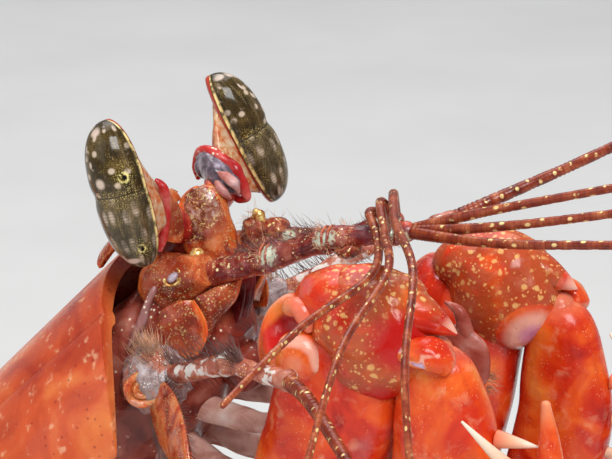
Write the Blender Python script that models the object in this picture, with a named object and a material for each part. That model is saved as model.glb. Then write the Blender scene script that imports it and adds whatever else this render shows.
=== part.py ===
"""A mantis shrimp of the spearing kind, life size, resting on its legs and tail fan.

The front of the body is raised, the eyes look about and the two claws are folded.
Pieces are made in millimetres, and each finished part is scaled to metres.
The head points to -Y, the animal's left is +X and the floor is at Z = 0.
"""
import math

import bmesh
import bpy
from mathutils import Vector

ANIMAL = "mantis_shrimp"
MM = 0.001
GAP = 0.3
SIDES = (("right", -1.0), ("left", 1.0))

# Lengths of the body's divisions along its centre line
CARAPACE_LENGTH = 36.0
THORAX_LENGTHS = (3.5, 9.0, 9.5, 10.0)
ABDOMEN_LENGTHS = (17.0, 18.0, 19.0, 19.5, 20.0, 13.0)
TELSON_LENGTH = 19.5
THORAX_START = CARAPACE_LENGTH
ABDOMEN_START = THORAX_START + sum(THORAX_LENGTHS)
TELSON_START = ABDOMEN_START + sum(ABDOMEN_LENGTHS)
BODY_LENGTH = TELSON_START + TELSON_LENGTH

# How the body changes along its length: distance from the carapace's front edge, then the size
PITCH_STOPS = ((0, 48), (33, 48), (38, 43), (44, 34), (53, 24), (63, 14), (76, 6), (94, 2),
               (112, 2), (132, 4), (151, 10), (168, 17), (178, 18), (188, 8), (194, 4))
WIDTH_STOPS = ((0, 9.2), (10, 12.0), (24, 14.2), (36, 15.0), (37, 12.4), (44, 13.2), (53, 13.8),
               (76, 14.6), (94, 15.0), (112, 15.4), (132, 15.8), (151, 16.0), (168, 15.2), (175, 14.0))
TOP_STOPS = ((0, 5.6), (18, 6.6), (36, 6.4), (37, 5.0), (53, 5.8), (76, 6.2), (112, 6.2),
             (151, 6.0), (175, 4.6))
PLEURON_STOPS = ((36, 3.4), (63, 3.6), (76, 5.2), (112, 5.6), (151, 5.6), (168, 4.4), (175, 3.8))
TAIL_HEIGHT = 0.25
CENTRE_STEP = 0.5

CARAPACE_WALL = 1.1
CARAPACE_EDGE_DROP = 4.2
SPINE_SIDES = 6
MERGE_DISTANCES = (0.01, 0.003, 0.0005)
FLAT_ANGLE = math.radians(0.5)

# Points of the head are given as forward, up and left of the carapace's front centre
EYES = {
    "right": {"centre": (6.99, 7.2, -5.8), "long": (0.545, 0.836, -0.059), "look": (-0.221, 0.091, -0.971),
              "foot": (5.5, 4.0, -1.5)},
    "left": {"centre": (10.16, 5.84, 5.7), "long": (0.396, 0.9, -0.184), "look": (0.902, -0.343, 0.264),
             "foot": (8.0, 3.8, 1.2)},
}
EYE_HALF_LENGTH = 5.25
EYE_HALF_WIDTH = 2.15
EYE_FRONT_DEPTH = 2.3
EYE_BACK_DEPTH = 0.7
EYE_BAND = 0.53
EYESTALK = ((0, 1.4, 1.3), (0.3, 1.8, 1.5), (0.6, 2.7, 1.8), (0.85, 3.8, 1.9), (1, 4.5, 1.95))
EYE_BASE = ((0.6, 2.0, 1.2, 1.2), (3.2, 3.0, 1.4, 1.2), (5.8, 2.8, 1.3, 1.4))
EYE_BLOCK = ((0.2, 5.5, 1.4, 1.4), (1.9, 5.95, 1.45, 2.1), (3.4, 6.5, 1.4, 2.35), (4.4, 7.1, 1.2, 1.6),
             (4.85, 7.1, 0.8, 0.9))
HEAD_RINGS = ((-0.4, -1.2, 5.3, 3.3, 4.9), (0.9, -1.0, 5.4, 3.2, 5.0),
              (2.0, -0.8, 4.6, 2.6, 4.6), (2.9, -1.6, 3.4, 1.6, 3.2))
PLATE_WALL = 0.8
CUP_PLACE = (2.4, 1.2, 2.7)
CUP_RADII = (1.9, 2.0, 1.95)

ANTENNULES = {
    "right": ((2.5, 1.1, -2.25), (10.2, -2.6, -2.7), (15.0, -4.7, -3.2), (19.2, -7.5, -3.6)),
    "left": ((2.5, 1.1, 2.25), (8.4, -1.6, 3.0), (12.8, -5.0, 2.3), (16.8, -6.3, 1.0)),
}
ANTENNULE_RADII = (1.05, 0.9, 0.8)
KNOBS = {
    "right": (((15.6, -6.1, -3.5), (0.75, 0.75, 0.7)),),
    "left": (((7.3, -0.2, 3.0), (1.2, 1.3, 1.3)), ((8.5, -0.9, 3.0), (1.1, 1.0, 1.0))),
}
LASH_ROOT = 0.46
LASH_TIP = 0.26
FLAGELLA = {
    "right": (((26.0, -11.2, -3.3), (40.0, -20.0, -2.4), (54.0, -31.0, 0.0)),
              ((26.0, -12.2, -4.8), (40.0, -21.5, -6.2), (53.0, -33.0, -8.0)),
              ((25.5, -12.8, -6.2), (38.0, -22.5, -9.4), (50.0, -34.0, -14.0))),
    "left": (((18.2, -5.2, -2.8), (19.4, -7.2, -6.8), (20.6, -8.8, -13.0),
              (19.0, -8.5, -20.0), (16.5, -9.0, -27.0)),
             ((19.2, -5.2, -2.6), (20.4, -7.2, -7.4), (22.0, -9.4, -13.6),
              (20.8, -11.0, -21.0), (18.5, -14.5, -28.0)),
             ((20.2, -5.4, -2.4), (21.6, -7.2, -7.6), (23.6, -10.4, -14.0),
              (22.8, -14.3, -21.0), (21.0, -20.0, -27.0))),
}
ANTENNAE = {
    "right": ((0.5, -3.5, -8.0), (7.9, -6.4, -11.6), (12.7, -10.0, -15.0)),
    "left": ((0.5, -3.5, 8.0), (8.0, -5.6, 11.8), (13.5, -8.4, 15.0)),
}
ANTENNA_FLAGELLA = {
    "right": ((14.8, -12.1, -18.0), (16.5, -16.4, -22.0), (17.7, -21.5, -26.0)),
    "left": ((20.0, -11.0, 19.0), (30.0, -15.0, 24.0), (39.0, -21.0, 30.0)),
}

# The folded claw lies in an upright plane, given as forward and up
CLAW_SIDE = 9.4
CLAW_SHIFT = {"right": (0.0, 0.0), "left": (-0.8, -3.6)}
MERUS_START = (-16.5, -28.7)
MERUS_END = (15.5, -9.9)
MERUS_SHOULDER = (11.6, -8.2)
SHOULDER_RADII = (2.3, 2.5, 3.2)
CARPUS_CENTRE = (16.2, -11.3)
CARPUS_LOBE = (16.1, -8.2)
CARPUS_ACROSS = (0.80, -0.60, 0.0)
CARPUS_ALONG = (0.60, 0.80, 0.0)
CARPUS_HORN = ((18.0, -10.6, 2.2), (19.3, -12.2, 1.5), (20.1, -13.7, 0.7), (20.4, -14.8, 0.12))
HAND_LIP = ((17.3, -12.7, 0.5, 1.5), (18.3, -13.7, 1.0, 1.9), (19.1, -14.7, 1.2, 1.6),
            (19.2, -15.6, 0.9, 1.2))
PROPODUS = ((-0.3, 2.8, 1.1, 1.0), (1.2, 2.2, 2.4, 1.9), (6.0, 0.6, 3.4, 2.2), (11.0, 0.0, 3.6, 2.3),
            (23.0, 0.0, 3.2, 2.1), (33.5, 0.0, 2.6, 1.8), (37.5, 0.0, 2.0, 1.4))
PROPODUS_OFFSET = 8.4
DACTYL_OFFSET = 6.4
DACTYL_TEETH = 7
COMB_SPINES = 10


def mix(a, b, t):
    return a + (b - a) * t


def along_stops(stops, s):
    """The value at s on a line of straight runs between stops."""
    if s <= stops[0][0]:
        return stops[0][1]
    for (s0, v0), (s1, v1) in zip(stops, stops[1:]):
        if s <= s1:
            return mix(v0, v1, (s - s0) / (s1 - s0))
    return stops[-1][1]


def centre_line():
    """Heights and distances of the body's centre line, walked back from the carapace's front."""
    points = [(0.0, 0.0)]
    for i in range(int(BODY_LENGTH / CENTRE_STEP)):
        pitch = math.radians(along_stops(PITCH_STOPS, (i + 0.5) * CENTRE_STEP))
        y, z = points[-1]
        points.append((y + CENTRE_STEP * math.cos(pitch), z - CENTRE_STEP * math.sin(pitch)))
    lift = TAIL_HEIGHT - points[-1][1]
    return [(y, z + lift) for y, z in points]


CENTRE_LINE = centre_line()


def body_frame(s):
    """The centre, the way back and the way up at distance s behind the carapace's front."""
    pitch = math.radians(along_stops(PITCH_STOPS, s))
    back = Vector((0, math.cos(pitch), -math.sin(pitch)))
    up = Vector((0, math.sin(pitch), math.cos(pitch)))
    i = min(max(int(s / CENTRE_STEP), 0), len(CENTRE_LINE) - 1)
    y, z = CENTRE_LINE[i]
    return Vector((0, y, z)) + back * (s - i * CENTRE_STEP), back, up


def body_point(s, left, up):
    centre, _, above = body_frame(s)
    return centre + Vector((left, 0, 0)) + above * up


def head_point(place):
    forward, up, left = place
    return body_point(-forward, left, up)


def head_direction(place):
    return (head_point(place) - head_point((0, 0, 0))).normalized()


def floor_point(s, left, height):
    """A point over the floor, beside the body at distance s."""
    centre, _, _ = body_frame(s)
    return Vector((left, centre.y, height))


def curve_through(points, steps):
    """A smooth line through the points, each a list of numbers of any length."""
    line = []
    for i in range(len(points) - 1):
        p0 = points[max(i - 1, 0)]
        p1, p2 = points[i], points[i + 1]
        p3 = points[min(i + 2, len(points) - 1)]
        for k in range(steps):
            t = k / steps
            line.append([0.5 * (2 * b + (c - a) * t + (2 * a - 5 * b + 4 * c - d) * t * t
                                + (3 * b - a - 3 * c + d) * t ** 3)
                         for a, b, c, d in zip(p0, p1, p2, p3)])
    line.append(list(points[-1]))
    return line


def new_piece(points, faces):
    """An object made from points in millimetres, to be joined into a node."""
    mesh = bpy.data.meshes.new("piece")
    mesh.from_pydata(points, [], faces)
    piece = bpy.data.objects.new("piece", mesh)
    bpy.context.scene.collection.objects.link(piece)
    return piece


def oval_ring(centre, across, up, half_width, top, bottom, count, power=1.0):
    """Points round an oval; a power under 1 makes it squarer."""
    points = []
    for i in range(count):
        angle = 2 * math.pi * i / count
        c, s = math.cos(angle), math.sin(angle)
        x = half_width * math.copysign(abs(c) ** power, c)
        z = (top if s > 0 else bottom) * math.copysign(abs(s) ** power, s)
        points.append(centre + across * x + up * z)
    return points


def loft(rings):
    """A closed skin over unlike rings of points, with a flat face over each end."""
    count = len(rings[0])
    points = [p for ring in rings for p in ring]
    faces = []
    for r in range(len(rings) - 1):
        for i in range(count):
            j = (i + 1) % count
            a, b = r * count + i, r * count + j
            faces.append((a, b, b + count))
            faces.append((a, b + count, a + count))
    last = (len(rings) - 1) * count
    faces.append(tuple(range(count - 1, -1, -1)))
    faces.append(tuple(range(last, last + count)))
    return face_outward(new_piece(points, faces))


def face_outward(piece):
    """Turns the faces of a closed piece to point out."""
    bm = bmesh.new()
    bm.from_mesh(piece.data)
    bmesh.ops.recalc_face_normals(bm, faces=bm.faces)
    bm.to_mesh(piece.data)
    bm.free()
    return piece


def limb(stations, sides, steps=2, wide=Vector((1, 0, 0)), power=1.0, grow=0.0):
    """A limb along stations of (point, half width, half depth), its width along wide."""
    line = curve_through([[*p, w, d] for p, w, d in stations], steps)
    places = [Vector(row[:3]) for row in line]
    rings = []
    for i, row in enumerate(line):
        ahead = (places[min(i + 1, len(places) - 1)] - places[max(i - 1, 0)]).normalized()
        deep = ahead.cross(wide).normalized()
        across = deep.cross(ahead).normalized()
        place = places[i]
        if grow and i in (0, len(line) - 1):
            place = place + ahead * (grow if i else -grow)
        depth = row[4] + grow
        rings.append(oval_ring(place, across, deep, row[3] + grow, depth, depth, sides, power))
    return loft(rings)


def cone(base, tip, radius, sides=SPINE_SIDES, tip_radius=0.08):
    """A tapered spine from base to tip."""
    bm = bmesh.new()
    axis = tip - base
    turn = Vector((0, 0, 1)).rotation_difference(axis).to_matrix().to_4x4()
    turn.translation = (base + tip) / 2
    bmesh.ops.create_cone(bm, cap_ends=True, cap_tris=True, segments=sides, radius1=radius,
                          radius2=tip_radius, depth=axis.length, matrix=turn)
    piece = new_piece([], [])
    bm.to_mesh(piece.data)
    bm.free()
    return piece


def ball(centre, axes, radii, segments=14, rings=8):
    """An egg shape with its own three axes."""
    bm = bmesh.new()
    bmesh.ops.create_uvsphere(bm, u_segments=segments, v_segments=rings, radius=1.0)
    for v in bm.verts:
        x, y, z = v.co
        v.co = centre + axes[0] * (x * radii[0]) + axes[1] * (y * radii[1]) + axes[2] * (z * radii[2])
    piece = new_piece([], [])
    bm.to_mesh(piece.data)
    bm.free()
    return face_outward(piece)


def plate(rows, thickness):
    """A plate about a grid of middle points, split alike on both faces."""
    count = len(rows[0])
    upper, lower = [], []
    for i, row in enumerate(rows):
        before, after = rows[max(i - 1, 0)], rows[min(i + 1, len(rows) - 1)]
        for j, place in enumerate(row):
            along = after[j] - before[j]
            across = row[min(j + 1, count - 1)] - row[max(j - 1, 0)]
            normal = across.cross(along).normalized()
            half = thickness(i / (len(rows) - 1), 2 * j / (count - 1) - 1) / 2
            upper.append(place + normal * half)
            lower.append(place - normal * half)
    size = len(upper)
    faces = []
    for i in range(len(rows) - 1):
        for j in range(count - 1):
            a = i * count + j
            for tri in ((a, a + 1, a + count + 1), (a, a + count + 1, a + count)):
                faces.append(tri)
                faces.append(tuple(size + k for k in reversed(tri)))
    last = (len(rows) - 1) * count
    rim = list(range(count)) + [i * count + count - 1 for i in range(1, len(rows))]
    rim += [last + j for j in range(count - 2, -1, -1)] + [i * count for i in range(len(rows) - 2, 0, -1)]
    for a, b in zip(rim, rim[1:] + rim[:1]):
        faces.append((b, a, size + a))
        faces.append((b, size + a, size + b))
    return face_outward(new_piece(upper + lower, faces))


def leaf(base, tip, across, half_width, thickness, rows=6, columns=3, belly=0.5, droop=Vector()):
    """A thin paddle from base to tip, widest at belly, its middle moved by droop."""
    grid = []
    for i in range(rows):
        t = i / (rows - 1)
        skew = t ** (math.log(0.5) / math.log(belly))
        half = half_width * max(math.sin(math.pi * (0.08 + 0.88 * skew)), 0.22)
        middle = base.lerp(tip, t) + droop * (4 * t * (1 - t))
        grid.append([middle + across * (half * (2 * j / (columns - 1) - 1)) for j in range(columns)])
    return plate(grid, lambda t, u: thickness * (1.0 - 0.45 * abs(u)))


def joined(pieces, cutters=(), on_floor=False):
    """One closed mesh: the pieces united, the cutters taken away, the largest body kept."""
    base = pieces[0]
    if len(pieces) > 1:
        group = bpy.data.collections.new("group")
        for piece in pieces[1:]:
            group.objects.link(piece)
        union = base.modifiers.new("union", "BOOLEAN")
        union.operation = "UNION"
        union.solver = "EXACT"
        union.operand_type = "COLLECTION"
        union.collection = group
    for cutter in cutters:
        cut = base.modifiers.new("cut", "BOOLEAN")
        cut.operation = "DIFFERENCE"
        cut.solver = "EXACT"
        cut.object = cutter
    bpy.context.view_layer.update()
    depsgraph = bpy.context.evaluated_depsgraph_get()
    mesh = bpy.data.meshes.new_from_object(base.evaluated_get(depsgraph))
    if len(pieces) > 1:
        bpy.data.collections.remove(group)
    for piece in list(pieces) + list(cutters):
        bpy.data.objects.remove(piece)
    tidy(mesh, on_floor)
    return mesh


def merged(mesh, on_floor):
    """The mesh as triangles, with points closer than a hair's breadth made one where that is clean."""
    for distance in MERGE_DISTANCES:
        bm = bmesh.new()
        bm.from_mesh(mesh)
        if on_floor:
            for v in bm.verts:
                v.co.z = max(v.co.z, 0.0)
        bmesh.ops.remove_doubles(bm, verts=bm.verts, dist=distance)
        bmesh.ops.dissolve_limit(bm, angle_limit=FLAT_ANGLE, verts=bm.verts, edges=bm.edges)
        bmesh.ops.triangulate(bm, faces=bm.faces)
        if all(edge.is_manifold for edge in bm.edges) or distance == MERGE_DISTANCES[-1]:
            return bm
        bm.free()


def tidy(mesh, on_floor):
    """Keeps a mesh's largest body, faces out, and rests it on the floor."""
    bm = merged(mesh, on_floor)
    left = set(bm.verts)
    bodies = []
    while left:
        body, edge = set(), [left.pop()]
        while edge:
            v = edge.pop()
            body.add(v)
            for link in v.link_edges:
                other = link.other_vert(v)
                if other in left:
                    left.discard(other)
                    edge.append(other)
        bodies.append(body)
    bodies.sort(key=body_size)
    for body in bodies[:-1]:
        bmesh.ops.delete(bm, geom=list(body), context="VERTS")
    bmesh.ops.recalc_face_normals(bm, faces=bm.faces)
    bm.to_mesh(mesh)
    bm.free()


def body_size(body):
    """The volume of the box round a set of vertices."""
    spans = []
    for axis in range(3):
        values = [v.co[axis] for v in body]
        spans.append(max(values) - min(values))
    return spans[0] * spans[1] * spans[2]


def finish(name, colour, roughness, metallic=0.0):
    material = bpy.data.materials.new(name + "_finish")
    material.use_nodes = True
    shader = material.node_tree.nodes["Principled BSDF"]
    shader.inputs["Base Color"].default_value = (*colour, 1.0)
    shader.inputs["Roughness"].default_value = roughness
    shader.inputs["Metallic"].default_value = metallic
    return material


SHELL = ((0.55, 0.13, 0.06), 0.35)
CLAW = ((0.70, 0.08, 0.03), 0.22)
FACE = ((0.62, 0.20, 0.07), 0.30)
FEELER = ((0.36, 0.09, 0.06), 0.35)
CORNEA = ((0.09, 0.07, 0.035), 0.10)
STALK = ((0.72, 0.20, 0.14), 0.28)
PALE = ((0.60, 0.42, 0.34), 0.40)


def node(name, place, look, pieces, cutters=(), on_floor=False):
    """A named part of the animal with its own origin and finish."""
    mesh = joined(pieces, cutters, on_floor)
    mesh.name = name
    for v in mesh.vertices:
        v.co = (v.co - place) * MM
    mesh.shade_smooth()
    mesh.set_sharp_from_angle(angle=math.radians(40))
    mesh.materials.clear()
    mesh.materials.append(finish(name, *look))
    part = bpy.data.objects.new(name, mesh)
    part.location = place * MM
    part.parent = bpy.data.objects[ANIMAL]
    bpy.data.collections[ANIMAL].objects.link(part)
    return part


# Body rings

# Under a ring: across and down as shares of its half width and pleuron, then the way each point grows
UNDERSIDE = ((0.99, -0.45, 1, 0), (0.94, -1.0, 0.8, -0.8), (0.85, -0.97, -0.8, -0.8),
             (0.75, -0.56, -0.8, -0.9), (0.45, -0.80, 0, -1))

def somite_ring(s, scale=1.0, grow=0.0):
    """The outline of one ring of the body, with a pleuron hanging at each side."""
    half = along_stops(WIDTH_STOPS, s) * scale
    top = along_stops(TOP_STOPS, s) * scale + grow
    drop = along_stops(PLEURON_STOPS, s) * scale
    outline = []
    arc_steps = 10
    for i in range(arc_steps + 1):
        angle = math.pi * (i / arc_steps - 0.5)
        outline.append(((half + grow) * math.sin(angle), top * math.cos(angle) ** 0.85))
    for x, z, grow_x, grow_z in UNDERSIDE:
        outline.append((x * half + grow_x * grow, z * drop + grow_z * grow))
    outline.append((0, -0.86 * drop - grow))
    for x, z, grow_x, grow_z in reversed(UNDERSIDE):
        outline.append((-x * half - grow_x * grow, z * drop + grow_z * grow))
    return [body_point(s, x, z) for x, z in outline]


def somite(start, end, grow=0.0):
    """One body ring, tucked in at its front and flared at its hind edge."""
    inset = GAP / 2 - grow
    length = end - start
    stations = ((start + inset, 0.93), (start + 0.14 * length, 0.99), (start + 0.55 * length, 1.0),
                (end - 0.10 * length, 1.03), (end - inset, 1.0))
    return loft([somite_ring(s, scale, grow) for s, scale in stations])


def somite_spans():
    spans = {}
    s = THORAX_START
    for number, length in zip((5, 6, 7, 8), THORAX_LENGTHS):
        spans["thorax_%d" % number] = (s, s + length)
        s += length
    for number, length in enumerate(ABDOMEN_LENGTHS, 1):
        spans["abdomen_%d" % number] = (s, s + length)
        s += length
    return spans


SPANS = somite_spans()


def carapace_point(s, u, inset):
    """A point on the carapace at distance s, u from -1 at its right edge to 1 at its left."""
    angle = math.radians(97) * u
    half = along_stops(WIDTH_STOPS, min(s, THORAX_START)) - inset
    top = along_stops(TOP_STOPS, min(s, THORAX_START)) + CARAPACE_EDGE_DROP - inset
    return body_point(s, half * math.sin(angle), top * math.cos(angle) - CARAPACE_EDGE_DROP)


def carapace_rows(inset, rows=9, columns=17):
    grid = []
    for i in range(rows):
        t = i / (rows - 1)
        row = []
        for j in range(columns):
            u = 2 * j / (columns - 1) - 1
            front = 0.3 + 5.0 * abs(u) ** 3
            back = CARAPACE_LENGTH - 2.2 * (1 - u * u) - 5.0 * abs(u) ** 7
            row.append(carapace_point(mix(front, back, t), u, inset))
        grid.append(row)
    return grid


def make_carapace():
    shell = plate(carapace_rows(CARAPACE_WALL / 2), lambda t, u: CARAPACE_WALL)
    node("carapace", body_point(18, 0, 0), SHELL, [shell])


def front_body(grow=0.0):
    """The body under the carapace, out to the fifth thoracic ring behind it."""
    rings = []
    for s, width, top, bottom in ((0.6, 0.60, 0.52, 6.6), (5, 0.64, 0.58, 7.6), (14, 0.70, 0.60, 8.2),
                                  (28, 0.72, 0.60, 7.8), (36.4, 0.74, 0.60, 5.4)):
        half = along_stops(WIDTH_STOPS, min(s, THORAX_START)) * width
        high = along_stops(TOP_STOPS, min(s, THORAX_START)) * top
        s = s - grow if s < 1 else s
        centre, _, up = body_frame(s)
        rings.append(oval_ring(centre, Vector((1, 0, 0)), up, half + grow, high + grow,
                               bottom + grow, 18, 0.85))
    for s, scale in ((36.8, 1.0), (39.5 - GAP / 2 + grow, 1.0)):
        centre, _, up = body_frame(s)
        half = along_stops(WIDTH_STOPS, 37.5) * scale
        rings.append(oval_ring(centre, Vector((1, 0, 0)), up, half + grow, 4.9 + grow,
                               4.6 + grow, 18, 0.85))
    return loft(rings)


def head_block(grow=0.0):
    """The front of the head, which carries the feelers."""
    rings = []
    _, _, up = body_frame(-1)
    for k, (forward, rise, half, top, bottom) in enumerate(HEAD_RINGS):
        ahead = grow * {0: -1, len(HEAD_RINGS) - 1: 1}.get(k, 0)
        centre = head_point((forward + ahead, rise, 0))
        sizes = [size + grow for size in (half, top, bottom)]
        rings.append(oval_ring(centre, Vector((1, 0, 0)), up, *sizes, 16, 0.9))
    return loft(rings)


def eye_seat(grow=0.0):
    """The small block in front, between the two eyestalks, and the neck behind it."""
    neck = limb([(head_point((f, u, 0)), w, d) for f, u, w, d in EYE_BASE], 10, 1, grow=grow)
    block = [(head_point((f, u, 0)), w, d) for u, f, w, d in EYE_BLOCK]
    return [neck, limb(block, 10, 1, power=0.7, grow=grow)]


def cup(sign, grow=0.0):
    """The rounded hood at the foot of a first feeler."""
    forward, up, left = CUP_PLACE
    axes = (Vector((1, 0, 0)), head_direction((1, 0, 0)), head_direction((0, 1, 0)))
    return ball(head_point((forward, up, sign * left)), axes, [r + grow for r in CUP_RADII], 9, 6)


def make_front_body():
    node("thorax_front", body_point(14, 0, 0), SHELL, [front_body()])


def make_head():
    mouth = ball(head_point((1.0, -6.6, 0)), (Vector((1, 0, 0)), head_direction((1, 0, 0)),
                                              head_direction((0, 1, 0))), (2.6, 1.6, 1.8), 8, 6)
    hoods = [cup(sign) for _, sign in SIDES]
    node("head", head_point((1, 0, 0)), FACE, [head_block(), mouth] + eye_seat() + hoods, [front_body(GAP)])


def rostral_plate(grow=0.0):
    """The pointed plate over the roots of the eyestalks."""
    rows = []
    for i in range(6):
        t = i / 5
        half = 4.3 * (1 - t ** 1.6) * (1.0 if t > 0.2 else 0.93) + 0.35 + grow
        row = []
        for j in range(7):
            side = 2 * j / 6 - 1
            height = 6.5 - 0.9 * t * t - 1.1 * side * side * (1 - t)
            row.append(head_point((mix(0.1 - grow, 6.2 + grow, t), height, half * side)))
        rows.append(row)
    return plate(rows, lambda t, u: PLATE_WALL + 2 * grow)


def make_rostral_plate():
    node("rostral_plate", head_point((2.5, 6, 0)), FACE, [rostral_plate()])


# Eyes

def eye_axes(side):
    eye = EYES[side]
    look = head_direction(eye["look"])
    long_axis = head_direction(eye["long"])
    long_axis = (long_axis - look * long_axis.dot(look)).normalized()
    return head_point(eye["centre"]), long_axis, look.cross(long_axis).normalized(), look


def waist(t):
    """How far the cornea is drawn in across its middle band."""
    return 1.0 - 0.09 * math.exp(-((t - 2 * EYE_BAND + 1) / 0.11) ** 2)


def cornea(side, stations=12, sides=14):
    """The two-lobed cornea, rounded outward and flat towards its stalk."""
    centre, long_axis, wide, look = eye_axes(side)
    rings = []
    for i in range(stations):
        t = -math.cos(math.pi * (i + 0.35) / (stations - 0.3))
        size = (1 - abs(t) ** (3.1 if t > 0 else 2.6)) ** 0.5 * waist(t)
        place = centre + long_axis * (EYE_HALF_LENGTH * t)
        rings.append(oval_ring(place, wide, look, EYE_HALF_WIDTH * size, EYE_FRONT_DEPTH * size,
                               EYE_BACK_DEPTH * size ** 0.3, sides))
    return loft(rings)


def eyestalk(side):
    """The stalk, round at its foot and widening to the whole back of the cornea."""
    centre, long_axis, wide, look = eye_axes(side)
    foot = head_point(EYES[side]["foot"])
    end = centre - look * (EYE_BACK_DEPTH + GAP)
    lean = (end - foot).normalized()
    side_axis = lean.cross(long_axis).normalized()
    first_long = side_axis.cross(lean).normalized()
    rings = []
    for t, half_long, half_wide in EYESTALK:
        blend = mix(0.6, 1.0, t)
        long_now = first_long.lerp(long_axis, blend).normalized()
        wide_now = side_axis.lerp(-wide if side_axis.dot(wide) < 0 else wide, blend).normalized()
        rings.append(oval_ring(foot.lerp(end, t), wide_now, long_now, half_wide, half_long, half_long, 14))
    return loft(rings)


def make_eyes():
    for side, _ in SIDES:
        centre = head_point(EYES[side]["centre"])
        node("cornea_" + side, centre, CORNEA, [cornea(side)])
        node("eyestalk_" + side, head_point(EYES[side]["foot"]), STALK, [eyestalk(side)],
             eye_seat(GAP) + [rostral_plate(GAP), grown_cornea(side)])


def grown_cornea(side):
    """The cornea a little larger, to part the stalk from it."""
    piece = cornea(side)
    centre = head_point(EYES[side]["centre"])
    for v in piece.data.vertices:
        away = v.co - centre
        v.co = centre + away * (1 + GAP / max(away.length, 1.0))
    return piece


# Feelers

def antennule(side):
    """The three articles of a first feeler, each swollen at its far joint."""
    joints = [head_point(p) for p in ANTENNULES[side]]
    stations = [(joints[0], 1.5, 1.4)]
    for near, far, slim in zip(joints, joints[1:], ANTENNULE_RADII):
        stations.append((near.lerp(far, 0.3), slim * 1.1, slim * 1.1))
        stations.append((near.lerp(far, 0.7), slim, slim))
        stations.append((near.lerp(far, 0.97), slim * 1.22, slim * 1.18))
    return limb(stations, 10, 1)


def make_antennules():
    axes = (Vector((1, 0, 0)), head_direction((1, 0, 0)), head_direction((0, 1, 0)))
    for side, sign in SIDES:
        knobs = [ball(head_point(place), axes, radii, 7, 5) for place, radii in KNOBS[side]]
        node("antennule_" + side, head_point(ANTENNULES[side][0]), FEELER, [antennule(side)] + knobs,
             [head_block(GAP), cup(sign, GAP)] + eye_seat(GAP))
        end = head_point(ANTENNULES[side][-1])
        ahead = (end - head_point(ANTENNULES[side][-2])).normalized()
        foot = end + ahead * 0.9
        whips = []
        for route in FLAGELLA[side]:
            points = [(foot - ahead * 0.1, 0.55, 0.55)]
            for k, place in enumerate(route, 1):
                radius = mix(LASH_ROOT, LASH_TIP, k / len(route))
                points.append((head_point(place), radius, radius))
            whips.append(limb(points, 5, 2, wide=Vector((0, 0, 1))))
        knob = ball(foot - ahead * 0.15, axes, (0.8, 0.8, 0.8), 8, 6)
        node("antennule_flagella_" + side, foot, FEELER, [knob] + whips, [antennule_end(side)])


def antennule_end(side):
    """A wall across the far end of the last article, with the gap in it."""
    a, b = [head_point(p) for p in ANTENNULES[side][-2:]]
    ahead = (b - a).normalized()
    return limb([(b - ahead * 3, 1.6, 1.6), (b + ahead * GAP, 1.6, 1.6)], 10, 1)


def antenna_trunk(side, sign, grow=0.0):
    """The stout foot of a second feeler, which also carries the scale."""
    joints = [head_point(p) for p in ANTENNAE[side]]
    root = head_point((-2.6, -2.8, sign * 5.0))
    stations = [(root, 2.2, 2.2), (joints[0], 2.05, 2.3), (joints[0].lerp(joints[1], 0.18), 1.3, 1.4)]
    return limb(stations, 9, 1, grow=grow)


def antenna_arm(side, grow=0.0):
    """The two slim articles of a second feeler and the whip that they carry."""
    joints = [head_point(p) for p in ANTENNAE[side]]
    stations = [(joints[0].lerp(joints[1], 0.05), 0.95, 0.95), (joints[0].lerp(joints[1], 0.5), 0.76, 0.76),
                (joints[1], 0.94, 0.94), (joints[1].lerp(joints[2], 0.5), 0.66, 0.66), (joints[2], 0.8, 0.8)]
    for route, radius in zip(ANTENNA_FLAGELLA[side], (0.5, 0.42, 0.28)):
        stations.append((head_point(route), radius, radius))
    return limb(stations, 6, 2, grow=grow)


def make_antennae():
    for side, sign in SIDES:
        joints = [head_point(p) for p in ANTENNAE[side]]
        trunk, arm = antenna_trunk(side, sign), antenna_arm(side)
        node("antenna_" + side, joints[0], FEELER, [trunk, arm, antenna_scale(sign)],
             [front_body(GAP), head_block(GAP)])


def antenna_scale(sign):
    """The oval blade that hangs from the foot of the second feeler."""
    base = head_point((-0.3, -3.2, sign * 8.2))
    tip = head_point((1.4, -9.7, sign * 13.5))
    across = head_direction((0.9, 0.35, 0.14 * sign))
    return leaf(base, tip, across, 2.3, 0.9, 7, 5)


# Claws

def claw_point(side, sign, forward, up, out=0.0):
    shift = CLAW_SHIFT[side]
    return head_point((forward + shift[0], up + shift[1], sign * (CLAW_SIDE + out)))


def claw_line():
    """The way forward along the merus and the way away from it, both as forward and up."""
    ahead = Vector((MERUS_END[0] - MERUS_START[0], MERUS_END[1] - MERUS_START[1])).normalized()
    return ahead, Vector((-ahead.y, ahead.x)) * -1.0


def beside_merus(length, offset):
    """Forward and up of a point at a length back from the merus's end, offset under it."""
    ahead, under = claw_line()
    place = Vector(MERUS_END) - ahead * length + under * offset
    return place.x, place.y


def carpus(side, sign, grow=0.0):
    """The wrist: a rounded body, a lobe over the end of the merus and a horn in front."""
    axes = (head_direction(CARPUS_ACROSS), Vector((1, 0, 0)), head_direction(CARPUS_ALONG))
    body = ball(claw_point(side, sign, *CARPUS_CENTRE), axes, [r + grow for r in (4.2, 3.5, 4.4)], 14, 9)
    lobe = ball(claw_point(side, sign, *CARPUS_LOBE), axes, [r + grow for r in (3.1, 2.8, 2.0)], 12, 8)
    horn = limb([(claw_point(side, sign, f, u), r, r) for f, u, r in CARPUS_HORN], 8, 1, grow=grow)
    return [body, lobe, horn]


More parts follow.
